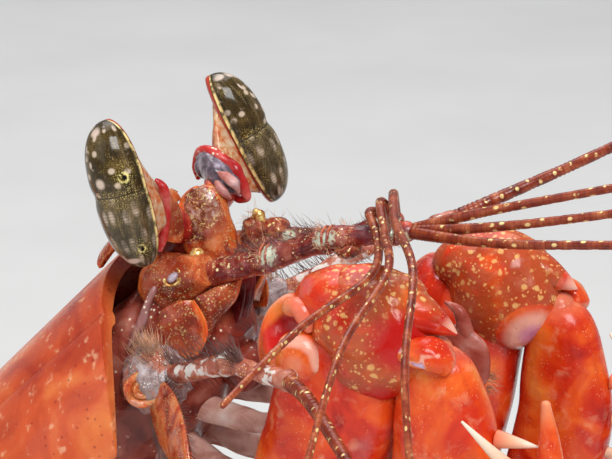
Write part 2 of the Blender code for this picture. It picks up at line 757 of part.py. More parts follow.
def merus(side, sign, grow=0.0):
    stations = []
    for length, half_depth, half_width in ((38.8, 1.5, 1.3), (35.0, 3.2, 2.4), (26.0, 4.1, 2.9),
                                           (13.0, 4.4, 3.1), (5.5, 4.2, 3.0), (1.6, 3.5, 2.6),
                                           (0.0, 1.8, 1.4)):
        stations.append((claw_point(side, sign, *beside_merus(length, 0)), half_width, half_depth))
    return limb(stations, 10, 1, power=0.9, grow=grow)


def merus_shoulder(side, sign):
    """The swelling over the merus's far end, where the wrist hinges."""
    ahead, under = claw_line()
    axes = (head_direction((-under.x, -under.y, 0)), Vector((1, 0, 0)),
            head_direction((ahead.x, ahead.y, 0)))
    return ball(claw_point(side, sign, *MERUS_SHOULDER), axes, SHOULDER_RADII, 10, 7)


def hand_lip(side, sign):
    """The rounded lip of the hand that laps over the wrist."""
    return limb([(claw_point(side, sign, f, u, out), r, r * 0.8) for f, u, r, out in HAND_LIP], 7, 1)


def ischium(side, sign):
    start = head_point((-16.0, -6.2, sign * 6.4))
    knee = beside_merus(35.5, 0)
    places = ((-19.0, -15.0, -0.8), (-22.0, -22.5, -0.2), (knee[0], knee[1], 0.0))
    stations = [(start, 2.4, 2.6)]
    stations += [(claw_point(side, sign, f, u, out), 2.1, 2.3) for f, u, out in places]
    return limb(stations, 8, 2)


def propodus(side, sign, grow=0.0):
    stations = []
    for length, rise, half_depth, half_width in PROPODUS:
        place = beside_merus(length, PROPODUS_OFFSET - rise)
        stations.append((claw_point(side, sign, *place), half_width, half_depth))
    return limb(stations, 10, 1, power=0.9, grow=grow)


def dactyl(side, sign):
    """The toothed last article, folded under the hand with its teeth outside it."""
    offset = PROPODUS_OFFSET + DACTYL_OFFSET
    stations = []
    for length, drop, half_depth, half_width in ((38.6, -4.4, 1.6, 1.1), (35.6, -0.5, 2.0, 1.5),
                                                 (24.0, 0.2, 1.6, 1.3), (11.0, 0.3, 1.3, 1.1),
                                                 (4.5, -0.3, 0.9, 0.8), (0.5, -1.6, 0.3, 0.3)):
        place = beside_merus(length, offset + drop)
        stations.append((claw_point(side, sign, *place, 0.2), half_width, half_depth))
    pieces = [limb(stations, 8, 1)]
    for k in range(DACTYL_TEETH):
        t = k / (DACTYL_TEETH - 1)
        length = mix(27.0, 5.0, t)
        reach = mix(0.55, 1.0, t)
        route = ((length + 1.0, 0.2, 0.5), (length - 0.6 * reach, -2.2 * reach, 2.2),
                 (length - 3.0 * reach, -5.6 * reach, 3.3))
        tooth = [(claw_point(side, sign, *beside_merus(at, offset + drop), out), r, r)
                 for (at, drop, out), r in zip(route, (0.75, 0.5, 0.1))]
        pieces.append(limb(tooth, 4, 1))
    return pieces


def make_claws():
    for side, sign in SIDES:
        seat = carpus(side, sign, GAP)
        node("claw_merus_" + side, claw_point(side, sign, *MERUS_START), CLAW,
             [merus(side, sign), merus_shoulder(side, sign)], seat)
        node("claw_base_" + side, head_point((-16.0, -8.0, sign * 6.4)), CLAW,
             [ischium(side, sign)], [merus(side, sign, GAP), front_body(GAP)])
        node("claw_carpus_" + side, claw_point(side, sign, *CARPUS_CENTRE), CLAW, carpus(side, sign))
        node("claw_propodus_" + side, claw_point(side, sign, *beside_merus(4, PROPODUS_OFFSET)), CLAW,
             [propodus(side, sign), hand_lip(side, sign)] + comb(side, sign), carpus(side, sign, GAP))
        hinge = claw_point(side, sign, *beside_merus(35, PROPODUS_OFFSET + DACTYL_OFFSET))
        node("claw_dactyl_" + side, hinge, CLAW, dactyl(side, sign), [propodus(side, sign, GAP)])


def comb(side, sign):
    """The row of small spines along the hand's outer edge, the first few longer."""
    spines = []
    for k in range(COMB_SPINES):
        length = mix(4.0, 29.0, k / (COMB_SPINES - 1))
        reach, radius = (4.5, 0.75) if k > 2 else (5.0, 0.6)
        root = claw_point(side, sign, *beside_merus(length, PROPODUS_OFFSET + 2.4))
        tip = claw_point(side, sign, *beside_merus(length - 0.5, PROPODUS_OFFSET + reach))
        spines.append(cone(root, tip, radius, 4))
    return spines


MAXILLIPEDS = {
    1: ((-3.0, -6.4, 2.0), (1.0, -10.6, 3.0), (6.0, -12.6, 3.2), (11.0, -11.2, 2.4)),
    3: ((-7.0, -6.8, 2.4), (-2.5, -14.5, 4.0), (5.0, -18.0, 4.0), (10.0, -16.8, 3.6)),
    4: ((-11.0, -7.0, 2.6), (-8.5, -17.0, 4.0), (-1.5, -22.5, 4.0), (4.0, -22.0, 3.6)),
    5: ((-15.0, -7.0, 2.6), (-14.5, -19.0, 4.0), (-8.5, -26.0, 4.0), (-3.0, -26.4, 3.6)),
}


def make_maxillipeds():
    for number, route in MAXILLIPEDS.items():
        for side, sign in SIDES:
            places = [head_point((f, u, sign * out)) for f, u, out in route]
            if number == 1:
                radii = (1.0, 0.8, 0.75, 0.45)
            else:
                radii = (1.7, 1.25, 1.15, 1.2)
            pieces = [limb([(p, r, r) for p, r in zip(places, radii)], 7, 2)]
            if number > 1:
                ahead = (places[3] - places[2]).normalized()
                deep = ahead.cross(Vector((1, 0, 0))).normalized()
                hand = places[3] + ahead * 1.6
                pieces.append(ball(hand, (ahead, deep, Vector((1, 0, 0))), (3.2, 2.6, 0.9), 9, 6))
                hook_root = hand + ahead * 2.6 + deep * 0.4
                hook_tip = hook_root + ahead * 1.2 + deep * 2.4
                hook_bend = (hook_root + hook_tip) / 2 + ahead * 0.6
                hook = [(hook_root, 0.5, 0.6), (hook_bend, 0.4, 0.45), (hook_tip, 0.12, 0.12)]
                pieces.append(limb(hook, 4, 1))
            node("maxilliped_%d_%s" % (number, side), places[0], PALE, pieces,
                 [front_body(GAP), head_block(GAP)])


def make_thorax():
    for name in ("thorax_6", "thorax_7", "thorax_8"):
        start, end = SPANS[name]
        node(name, body_point((start + end) / 2, 0, 0), SHELL, [somite(start, end)])


def make_abdomen():
    for number in range(1, 7):
        name = "abdomen_%d" % number
        start, end = SPANS[name]
        pieces = [somite(start, end)]
        if number == 6:
            for _, sign in SIDES:
                root = body_point(end - 3.0, sign * 11.6, 2.2)
                pieces.append(cone(root, body_point(end + 1.4, sign * 13.0, 2.6), 0.8))
        node(name, body_point((start + end) / 2, 0, 0), SHELL, pieces)


# Walking legs: how far back the foot stands from its root, and how far out
LEGS = (("thorax_6", -7.0, 20.0), ("thorax_7", 0.5, 24.0), ("thorax_8", 9.0, 23.0))


def make_legs():
    for number, (ring, reach, out) in enumerate(LEGS, 1):
        start, end = SPANS[ring]
        s = (start + end) / 2
        for side, sign in SIDES:
            root = body_point(s, sign * 8.0, -1.6)
            high = root.z
            foot = Vector((sign * out, root.y + reach, -0.35))
            hip = root + Vector((sign * 2.4, 0.15 * reach, -3.2))
            knee = Vector((sign * mix(8, out, 0.62), root.y + 0.45 * reach, high * 0.62))
            ankle = Vector((sign * mix(8, out, 0.92), root.y + 0.85 * reach, high * 0.24))
            stations = ((root, 1.9, 1.9), (hip, 1.6, 1.6), (knee, 1.15, 1.2), (ankle, 0.85, 0.9),
                        (foot, 0.5, 0.5))
            leg = limb(stations, 7, 2, wide=Vector((0, 1, 0)))
            spur_root = hip.lerp(knee, 0.35)
            spur_tip = spur_root + Vector((sign * 1.0, 0.5 * reach + 2.2, -0.52 * spur_root.z))
            spur_bend = spur_root.lerp(spur_tip, 0.5) + Vector((sign * 1.2, 0, 0))
            spur = limb([(spur_root, 0.9, 0.9), (spur_bend, 0.75, 0.6), (spur_tip, 0.3, 0.25)], 5, 1,
                        wide=Vector((0, 1, 0)))
            node("walking_leg_%d_%s" % (number, side), root, FEELER, [leg, spur],
                 [somite(start, end, GAP)], True)


def make_pleopods():
    for number in range(1, 6):
        start, end = SPANS["abdomen_%d" % number]
        s = mix(start, end, 0.42)
        for side, sign in SIDES:
            root = body_point(s, sign * 6.6, -2.6)
            room = body_point(s, 0, -4.9).z
            fall = min(room * 0.72, 7.5)
            knee = root + Vector((sign * 0.6, 1.2, -2.6 - 0.25 * fall))
            stem = limb([(root, 2.3, 1.4), (knee, 2.0, 1.2)], 6, 1)
            pieces = [stem]
            for out, half, length in ((2.7, 3.4, 11.0), (-2.5, 2.8, 9.6)):
                base = knee + Vector((sign * out * 0.4, -0.6, 0.3))
                tip = base + Vector((sign * out * 0.75, math.sqrt(length * length - fall * fall), -fall))
                tip.z = max(tip.z, 0.9)
                pieces.append(leaf(base, tip, Vector((1, 0, 0)), half, 0.9, 6, 3, 0.55))
            node("pleopod_%d_%s" % (number, side), root, PALE, pieces, [somite(start, end, GAP)])


# Rings from the telson's root to its end: place, half width, height above and depth below
TELSON_RINGS = ((0, 11.4, 3.3, 1.8), (0.1, 12.2, 3.4, 1.7), (0.3, 12.9, 3.1, 1.5), (0.5, 12.6, 2.7, 1.3),
                (0.7, 11.3, 2.2, 1.1), (0.87, 9.2, 1.6, 0.9), (1.0, 7.0, 1.0, 0.7))
# Spines on each side: place, distance out, length and outward swing
TELSON_SPINES = ((0.50, 12.2, 2.4, 0.9), (0.76, 10.4, 2.6, 0.7), (0.97, 6.4, 2.8, 0.35))
SPINE_REACH = 2.2


def telson(grow=0.0):
    rings = []
    for t, half, top, bottom in TELSON_RINGS:
        centre, _, up = body_frame(mix(TELSON_START + GAP / 2, BODY_LENGTH - SPINE_REACH, t))
        sizes = [size + grow for size in (half, top, bottom)]
        rings.append(oval_ring(centre, Vector((1, 0, 0)), up, *sizes, 18, 0.8))
    return loft(rings)


def make_telson():
    pieces = [telson()]
    for _, sign in SIDES:
        for t, out, length, swing in TELSON_SPINES:
            s = mix(TELSON_START, BODY_LENGTH - SPINE_REACH, t)
            root = body_point(s - 1.2, sign * (out - 0.6), 0.1)
            tip = body_point(s + length, sign * (out + swing), 0.0)
            pieces.append(cone(root, tip, 0.95))
    boss_axes = (Vector((1, 0, 0)), *body_frame(TELSON_START + 7)[1:])
    pieces.append(ball(body_point(TELSON_START + 7.5, 0, 2.0), boss_axes, (2.0, 6.5, 1.9), 8, 6))
    node("telson", body_point(TELSON_START + 8, 0, 0), SHELL, pieces, [], True)


def make_uropods():
    for side, sign in SIDES:
        root = body_point(TELSON_START - 3.0, sign * 11.6, -1.4)
        knuckle = floor_point(TELSON_START + 5.0, sign * 17.0, 2.9)
        bend = root.lerp(knuckle, 0.55) + Vector((sign * 0.9, 0, 0))
        pieces = [limb([(root, 2.0, 1.7), (bend, 2.1, 1.8), (knuckle, 1.9, 1.6)], 8, 1)]
        out_base = floor_point(TELSON_START + 4.6, sign * 18.0, 2.7)
        out_tip = floor_point(TELSON_START + 23.5, sign * 27.5, 0.35)
        slant = (out_tip - out_base).normalized()
        across = slant.cross(Vector((0, 0, 1))).normalized()
        if across.x * sign < 0:
            across = -across
        pieces.append(leaf(out_base, out_tip, across, 3.3, 1.5, 7, 3, 0.55))
        for k in range(7):
            t = mix(0.22, 0.60, k / 6)
            edge = out_base.lerp(out_tip, t) + across * 2.4
            pieces.append(cone(edge, edge + across * 1.5 + slant * mix(1.2, 2.2, k / 6), 0.5, 4))
        in_base = floor_point(TELSON_START + 4.8, sign * 15.9, 2.6)
        in_tip = floor_point(TELSON_START + 20.0, sign * 17.2, 0.35)
        pieces.append(leaf(in_base, in_tip, Vector((1, 0, 0)), 2.3, 1.4, 6, 3))
        prong = floor_point(TELSON_START + 4.0, sign * 16.9, 1.9)
        pieces.append(cone(prong, floor_point(TELSON_START + 14.5, sign * 20.0, 0.9), 1.1))
        node("uropod_" + side, root, SHELL, pieces, [somite(*SPANS["abdomen_6"], GAP), telson(GAP)], True)


def clear_scene():
    for thing in list(bpy.data.objects):
        bpy.data.objects.remove(thing)


def centre_over_origin():
    """Moves the whole animal so that the middle of its box stands over the origin."""
    bpy.context.view_layer.update()
    corners = [part.matrix_world @ v.co for part in bpy.data.collections[ANIMAL].objects
               if part.type == "MESH" for v in part.data.vertices]
    middle = [(min(c[axis] for c in corners) + max(c[axis] for c in corners)) / 2 for axis in (0, 1)]
    bpy.data.objects[ANIMAL].location = (-middle[0], -middle[1], 0)


def make_animal():
    clear_scene()
    collection = bpy.data.collections.new(ANIMAL)
    bpy.context.scene.collection.children.link(collection)
    collection.objects.link(bpy.data.objects.new(ANIMAL, None))
    make_carapace()
    make_front_body()
    make_head()
    make_rostral_plate()
    make_eyes()
    make_antennules()
    make_antennae()
    make_claws()
    make_maxillipeds()
    make_thorax()
    make_legs()
    make_abdomen()
    make_pleopods()
    make_telson()
    make_uropods()
    centre_over_origin()
    bpy.context.view_layer.update()


make_animal()
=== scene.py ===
"""The visible surfaces of a mantis shrimp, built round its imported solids.

Shapes are made in millimetres from the same named sizes as the solids, then moved and scaled to
the row's frame. Head places are given as forward, up and left of the carapace's front centre.
"""
import math
import random

import bpy
import numpy as np
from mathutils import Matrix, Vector, noise


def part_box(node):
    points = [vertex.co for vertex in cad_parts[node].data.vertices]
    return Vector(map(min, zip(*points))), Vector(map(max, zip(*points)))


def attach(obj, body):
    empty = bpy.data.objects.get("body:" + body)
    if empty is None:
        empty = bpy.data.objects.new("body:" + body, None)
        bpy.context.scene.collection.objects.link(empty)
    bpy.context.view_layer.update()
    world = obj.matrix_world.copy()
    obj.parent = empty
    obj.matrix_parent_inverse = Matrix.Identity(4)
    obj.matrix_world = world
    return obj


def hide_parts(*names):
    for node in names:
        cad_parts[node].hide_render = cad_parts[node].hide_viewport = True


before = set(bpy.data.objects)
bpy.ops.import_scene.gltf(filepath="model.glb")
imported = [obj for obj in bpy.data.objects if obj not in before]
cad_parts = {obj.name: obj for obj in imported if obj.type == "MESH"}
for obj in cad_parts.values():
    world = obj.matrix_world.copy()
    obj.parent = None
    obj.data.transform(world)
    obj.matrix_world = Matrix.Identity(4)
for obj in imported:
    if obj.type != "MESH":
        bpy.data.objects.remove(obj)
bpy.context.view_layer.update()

MM = 0.001
SIDES = (("right", -1.0), ("left", 1.0))
LEFT = np.array((1.0, 0.0, 0.0))

CARAPACE_LENGTH = 36.0
THORAX_LENGTHS = (3.5, 9.0, 9.5, 10.0)
ABDOMEN_LENGTHS = (17.0, 18.0, 19.0, 19.5, 20.0, 13.0)
TELSON_LENGTH = 19.5
THORAX_START = CARAPACE_LENGTH
ABDOMEN_START = THORAX_START + sum(THORAX_LENGTHS)
TELSON_START = ABDOMEN_START + sum(ABDOMEN_LENGTHS)
BODY_LENGTH = TELSON_START + TELSON_LENGTH

PITCH_STOPS = ((0, 48), (33, 48), (38, 43), (44, 34), (53, 24), (63, 14), (76, 6), (94, 2),
               (112, 2), (132, 4), (151, 10), (168, 17), (178, 18), (188, 8), (194, 4))
WIDTH_STOPS = ((0, 9.2), (10, 12.0), (24, 14.2), (36, 15.0), (37, 12.4), (44, 13.2), (53, 13.8),
               (76, 14.6), (94, 15.0), (112, 15.4), (132, 15.8), (151, 16.0), (168, 15.2), (175, 14.0))
TOP_STOPS = ((0, 5.6), (18, 6.6), (36, 6.4), (37, 5.0), (53, 5.8), (76, 6.2), (112, 6.2),
             (151, 6.0), (175, 4.6))
PLEURON_STOPS = ((36, 3.4), (63, 3.6), (76, 5.2), (112, 5.6), (151, 5.6), (168, 4.4), (175, 3.8))
TAIL_HEIGHT = 0.25
CENTRE_STEP = 0.5
CARAPACE_WALL = 1.1
CARAPACE_EDGE_DROP = 4.2

EYES = {
    "right": {"centre": (6.99, 7.2, -5.8), "long": (0.545, 0.836, -0.059), "look": (-0.221, 0.091, -0.971),
              "foot": (5.5, 4.0, -1.5)},
    "left": {"centre": (10.16, 5.84, 5.7), "long": (0.396, 0.9, -0.184), "look": (0.902, -0.343, 0.264),
             "foot": (8.0, 3.8, 1.2)},
}
EYE_HALF_LENGTH = 5.25
EYE_HALF_WIDTH = 2.15
EYE_FRONT_DEPTH = 2.3
EYE_BACK_DEPTH = 0.7
BAND = 0.53
EYE_RINGS = ((0.40, 0.64, 1.0), (0.39, 0.16, 0.9))
EYE_PATCHES = ((0.26, 0.945, 0.07, 0.035), (0.19, 0.85, 0.012, 0.03), (0.23, 0.755, 0.014, 0.028),
               (0.27, 0.63, 0.035, 0.045), (0.29, 0.085, 0.09, 0.03), (0.12, 0.965, 0.09, 0.022))
EYESTALK = ((0, 1.4, 1.3), (0.3, 1.8, 1.5), (0.6, 2.7, 1.8), (0.85, 3.8, 1.9), (1, 4.5, 1.95))
EYE_BASE = ((0.6, 2.0, 1.2, 1.2), (3.2, 3.0, 1.4, 1.2), (5.8, 2.8, 1.3, 1.4))
EYE_BLOCK = ((0.2, 5.5, 1.4, 1.4), (1.9, 5.95, 1.45, 2.1), (3.4, 6.5, 1.4, 2.35), (4.4, 7.1, 1.2, 1.6),
             (4.85, 7.1, 0.8, 0.9))
HEAD_RINGS = ((-0.4, -1.2, 5.3, 3.3, 4.9), (0.9, -1.0, 5.4, 3.2, 5.0),
              (2.0, -0.8, 4.6, 2.6, 4.6), (2.9, -1.6, 3.4, 1.6, 3.2))
CUP_PLACE = (2.4, 1.2, 2.7)

ANTENNULES = {
    "right": ((2.5, 1.1, -2.25), (10.2, -2.6, -2.7), (15.0, -4.7, -3.2), (19.2, -7.5, -3.6)),
    "left": ((2.5, 1.1, 2.25), (8.4, -1.6, 3.0), (12.8, -5.0, 2.3), (16.8, -6.3, 1.0)),
}
ANTENNULE_RADII = (1.05, 0.9, 0.8)
FLAGELLA = {
    "right": (((26.0, -11.2, -3.3), (40.0, -20.0, -2.4), (54.0, -31.0, 0.0)),
              ((26.0, -12.2, -4.8), (40.0, -21.5, -6.2), (53.0, -33.0, -8.0)),
              ((25.5, -12.8, -6.2), (38.0, -22.5, -9.4), (50.0, -34.0, -14.0))),
    "left": (((18.2, -5.2, -2.8), (19.4, -7.2, -6.8), (20.6, -8.8, -13.0), (19.0, -8.5, -20.0),
              (16.5, -9.0, -27.0)),
             ((19.2, -5.2, -2.6), (20.4, -7.2, -7.4), (22.0, -9.4, -13.6), (20.8, -11.0, -21.0),
              (18.5, -14.5, -28.0)),
             ((20.2, -5.4, -2.4), (21.6, -7.2, -7.6), (23.6, -10.4, -14.0), (22.8, -14.3, -21.0),
              (21.0, -20.0, -27.0))),
}
ANTENNAE = {
    "right": ((0.5, -3.5, -8.0), (7.9, -6.4, -11.6), (12.7, -10.0, -15.0)),
    "left": ((0.5, -3.5, 8.0), (8.0, -5.6, 11.8), (13.5, -8.4, 15.0)),
}
ANTENNA_FLAGELLA = {
    "right": ((14.8, -12.1, -18.0), (16.5, -16.4, -22.0), (17.7, -21.5, -26.0)),
    "left": ((20.0, -11.0, 19.0), (30.0, -15.0, 24.0), (39.0, -21.0, 30.0)),
}

CLAW_SIDE = 9.4
CLAW_SHIFT = {"right": (0.0, 0.0), "left": (-0.8, -3.6)}
MERUS_START = (-16.5, -28.7)
MERUS_END = (15.5, -9.9)
CARPUS_CENTRE = (16.2, -11.3)
CARPUS_LOBE = (16.1, -8.2)
CARPUS_ACROSS = (0.80, -0.60, 0.0)
CARPUS_ALONG = (0.60, 0.80, 0.0)
CARPUS_HORN = ((18.0, -10.6, 2.2), (19.3, -12.2, 1.5), (20.1, -13.7, 0.7), (20.4, -14.8, 0.12))
PROPODUS = ((-0.3, 2.8, 1.1, 1.0), (1.2, 2.2, 2.4, 1.9), (6.0, 0.6, 3.4, 2.2), (11.0, 0.0, 3.6, 2.3),
            (23.0, 0.0, 3.2, 2.1), (33.5, 0.0, 2.6, 1.8), (37.5, 0.0, 2.0, 1.4))
HAND_LIP = ((17.3, -12.7, 0.5, 1.5), (18.3, -13.7, 1.0, 1.9), (19.1, -14.7, 1.25, 1.6),
            (19.2, -15.6, 1.0, 1.2))
PROPODUS_OFFSET = 8.4
DACTYL_OFFSET = 6.4
DACTYL_TEETH = 7
COMB_SPINES = 10

MERUS_SHOULDER = (11.6, -8.2, 0.0)
CARPUS_RIDGE = ((14.4, -7.2, 0.7, 0.4), (15.9, -7.5, 0.95, 0.5), (17.1, -8.3, 1.15, 0.5),
                (17.9, -9.5, 1.25, 0.5), (18.6, -10.8, 1.25, 0.5), (19.1, -12.1, 1.1, 0.4),
                (19.8, -13.4, 0.7, 0.2), (20.4, -14.8, 0.12, 0.0))
KNOBS = {
    "right": (((15.6, -6.1, -3.5), (0.7, 0.7, 0.65), 1), ((15.2, -5.9, -3.6), (0.45, 0.5, 0.5), 1)),
    "left": (((7.3, -0.2, 3.0), (1.2, 1.2, 1.3), 1), ((8.2, 0.7, 3.0), (0.5, 0.65, 0.6), 2),
             ((8.6, -0.9, 3.0), (1.05, 1.0, 1.0), 1), ((7.6, 0.6, 2.7), (0.6, 0.6, 0.6), 1)),
}
MAXILLIPEDS = {
    1: ((-3.0, -6.4, 2.0), (1.0, -10.6, 3.0), (6.0, -12.6, 3.2), (11.0, -11.2, 2.4)),
    3: ((-7.0, -6.8, 2.4), (-2.5, -14.5, 4.0), (5.0, -18.0, 4.0), (10.0, -16.8, 3.6)),
    4: ((-11.0, -7.0, 2.6), (-8.5, -17.0, 4.0), (-1.5, -22.5, 4.0), (4.0, -22.0, 3.6)),
    5: ((-15.0, -7.0, 2.6), (-14.5, -19.0, 4.0), (-8.5, -26.0, 4.0), (-3.0, -26.4, 3.6)),
}
LEGS = (("thorax_6", -7.0, 20.0), ("thorax_7", 0.5, 24.0), ("thorax_8", 9.0, 23.0))
UNDERSIDE = ((0.99, -0.45), (0.94, -1.0), (0.85, -0.97), (0.75, -0.56), (0.45, -0.80))


# Places along the body

def mix(a, b, t):
    return a + (b - a) * t


def unit(v):
    v = np.asarray(v, float)
    return v / max(np.linalg.norm(v), 1e-9)


def along_stops(stops, s):
    """The value at s on a line of straight runs between stops."""
    return float(np.interp(s, [p for p, _ in stops], [v for _, v in stops]))


def centre_line():
    points = [(0.0, 0.0)]
    for i in range(int(BODY_LENGTH / CENTRE_STEP)):
        pitch = math.radians(along_stops(PITCH_STOPS, (i + 0.5) * CENTRE_STEP))
        y, z = points[-1]
        points.append((y + CENTRE_STEP * math.cos(pitch), z - CENTRE_STEP * math.sin(pitch)))
    lift = TAIL_HEIGHT - points[-1][1]
    return [(y, z + lift) for y, z in points]


CENTRE_LINE = centre_line()


def body_frame(s):
    """The centre, the way back and the way up at distance s behind the carapace's front."""
    pitch = math.radians(along_stops(PITCH_STOPS, s))
    back = np.array((0, math.cos(pitch), -math.sin(pitch)))
    up = np.array((0, math.sin(pitch), math.cos(pitch)))
    i = min(max(int(s / CENTRE_STEP), 0), len(CENTRE_LINE) - 1)
    y, z = CENTRE_LINE[i]
    return np.array((0, y, z)) + back * (s - i * CENTRE_STEP), back, up


def body_point(s, left, up):
    centre, _, above = body_frame(s)
    return centre + LEFT * left + above * up


def head_point(place):
    forward, up, left = place
    return body_point(-forward, left, up)


def head_direction(place):
    return unit(head_point(place) - head_point((0, 0, 0)))


def floor_point(s, left, height):
    return np.array((left, body_frame(s)[0][1], height))


def somite_spans():
    spans = {}
    s = THORAX_START
    for number, length in zip((5, 6, 7, 8), THORAX_LENGTHS):
        spans["thorax_%d" % number] = (s, s + length)
        s += length
    for number, length in enumerate(ABDOMEN_LENGTHS, 1):
        spans["abdomen_%d" % number] = (s, s + length)
        s += length
    return spans


SPANS = somite_spans()


def animal_shift():
    """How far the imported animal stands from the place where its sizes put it."""
    low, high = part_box("thorax_8")
    start, end = SPANS["thorax_8"]
    ys = [body_point(start + 0.15, 0, 0.93 * along_stops(TOP_STOPS, start + 0.15))[1]]
    pleuron = 0.93 * along_stops(PLEURON_STOPS, start + 0.15)
    ys.append(body_point(start + 0.15, 0, -pleuron)[1])
    return np.array(((low.x + high.x) / 2, low.y - min(ys) * MM, 0.0))


SHIFT = animal_shift()


# Meshes

def curve_through(points, steps):
    """A smooth line through the points, each a list of numbers of any length."""
    points = np.asarray(points, float)
    line = []
    for i in range(len(points) - 1):
        p0 = points[max(i - 1, 0)]
        p1, p2 = points[i], points[i + 1]
        p3 = points[min(i + 2, len(points) - 1)]
        for k in range(steps):
            t = k / steps
            line.append(0.5 * (2 * p1 + (p2 - p0) * t + (2 * p0 - 5 * p1 + 4 * p2 - p3) * t * t
                               + (3 * p1 - p0 - 3 * p2 + p3) * t ** 3))
    line.append(points[-1])
    return np.array(line)


def oval_ring(centre, across, up, half_width, top, bottom, count, power=1.0):
    """Points round an oval; a power under 1 makes it squarer."""
    angle = 2 * np.pi * np.arange(count) / count
    c, s = np.cos(angle), np.sin(angle)
    x = half_width * np.sign(c) * np.abs(c) ** power
    z = np.where(s > 0, top, bottom) * np.sign(s) * np.abs(s) ** power
    return centre + x[:, None] * across + z[:, None] * up


def domed(rings, ends=(True, True), bulge=0.8, steps=5):
    """Rounds the open ends of a row of rings."""
    rings = list(rings)
    for end in (0, 1):
        if not ends[end]:
            continue
        first, second = (rings[0], rings[1]) if end == 0 else (rings[-1], rings[-2])
        centre = first.mean(0)
        ahead = unit(centre - second.mean(0))
        reach = bulge * np.linalg.norm(first - centre, axis=1).min()
        extra = []
        for k in range(1, steps + 1):
            angle = math.pi / 2 * k / steps
            size = max(math.cos(angle), 0.03)
            extra.append(centre + (first - centre) * size + ahead * reach * math.sin(angle))
        rings = extra[::-1] + rings if end == 0 else rings + extra
    return np.array(rings)


def limb(stations, sides, steps=6, wide=LEFT, power=1.0, ends=(True, True), bulge=0.8):
    """Rings along stations of (point, half width, half depth), the width along wide."""
    line = curve_through([[*p, w, d] for p, w, d in stations], steps)
    places = line[:, :3]
    rings = []
    for i, row in enumerate(line):
        ahead = unit(places[min(i + 1, len(places) - 1)] - places[max(i - 1, 0)])
        deep = unit(np.cross(ahead, wide))
        across = unit(np.cross(deep, ahead))
        rings.append(oval_ring(places[i], across, deep, row[3], row[4], row[4], sides, power))
    return domed(rings, ends, bulge)


def ball(centre, axes, radii, sides=32, rows=20):
    """An egg shape's rings along its second axis."""
    rings = []
    for i in range(rows):
        t = math.pi * (i + 0.12) / (rows - 0.76)
        size = math.sin(t)
        place = centre - axes[1] * (radii[1] * math.cos(t))
        rings.append(oval_ring(place, axes[0], axes[2], radii[0] * size, radii[2] * size,
                               radii[2] * size, sides))
    return np.array(rings)


def crinkle(rings, size, amount, seed=0.0, share=None):
    """Moves each point out from or in to its ring's middle by smooth noise."""
    centres = rings.mean(1, keepdims=True)
    away = rings - centres
    away /= np.maximum(np.linalg.norm(away, axis=2, keepdims=True), 1e-6)
    flat = (rings / size + seed).reshape(-1, 3)
    heights = np.array([noise.noise(Vector(p)) for p in flat]).reshape(rings.shape[:2])
    if share is not None:
        heights = heights * share
    return rings + away * (heights * amount)[:, :, None]


def blade_rings(middle, thickness):
    """Closed rings round a grid of middle points, thin at the grid's two long edges."""
    rows, columns = middle.shape[:2]
    along = np.gradient(middle, axis=0)
    across = np.gradient(middle, axis=1)
    normal = np.cross(across, along)
    normal /= np.maximum(np.linalg.norm(normal, axis=2, keepdims=True), 1e-9)
    t = np.linspace(0, 1, rows)[:, None]
    u = np.linspace(-1, 1, columns)[None, :]
    half = thickness(t, u) / 2 * np.sqrt(np.maximum(1 - np.abs(u) ** 6, 0))
    top = middle + normal * half[:, :, None]
    under = middle - normal * half[:, :, None]
    return np.concatenate([top, under[:, -2:0:-1]], axis=1)


def leaf(base, tip, across, half_width, thickness, rows=30, columns=17, belly=0.5):
    """A thin paddle from base to tip, widest at belly."""
    t = np.linspace(0, 1, rows)
    skew = t ** (math.log(0.5) / math.log(belly))
    half = half_width * np.maximum(np.sin(math.pi * (0.08 + 0.88 * skew)), 0.22)
    middle = base + (tip - base) * t[:, None]
    u = np.linspace(-1, 1, columns)
    grid = middle[:, None, :] + across * (half[:, None] * u[None, :])[:, :, None]
    return blade_rings(grid, lambda a, b: thickness * (1.0 - 0.45 * np.abs(b)) + 0 * a)


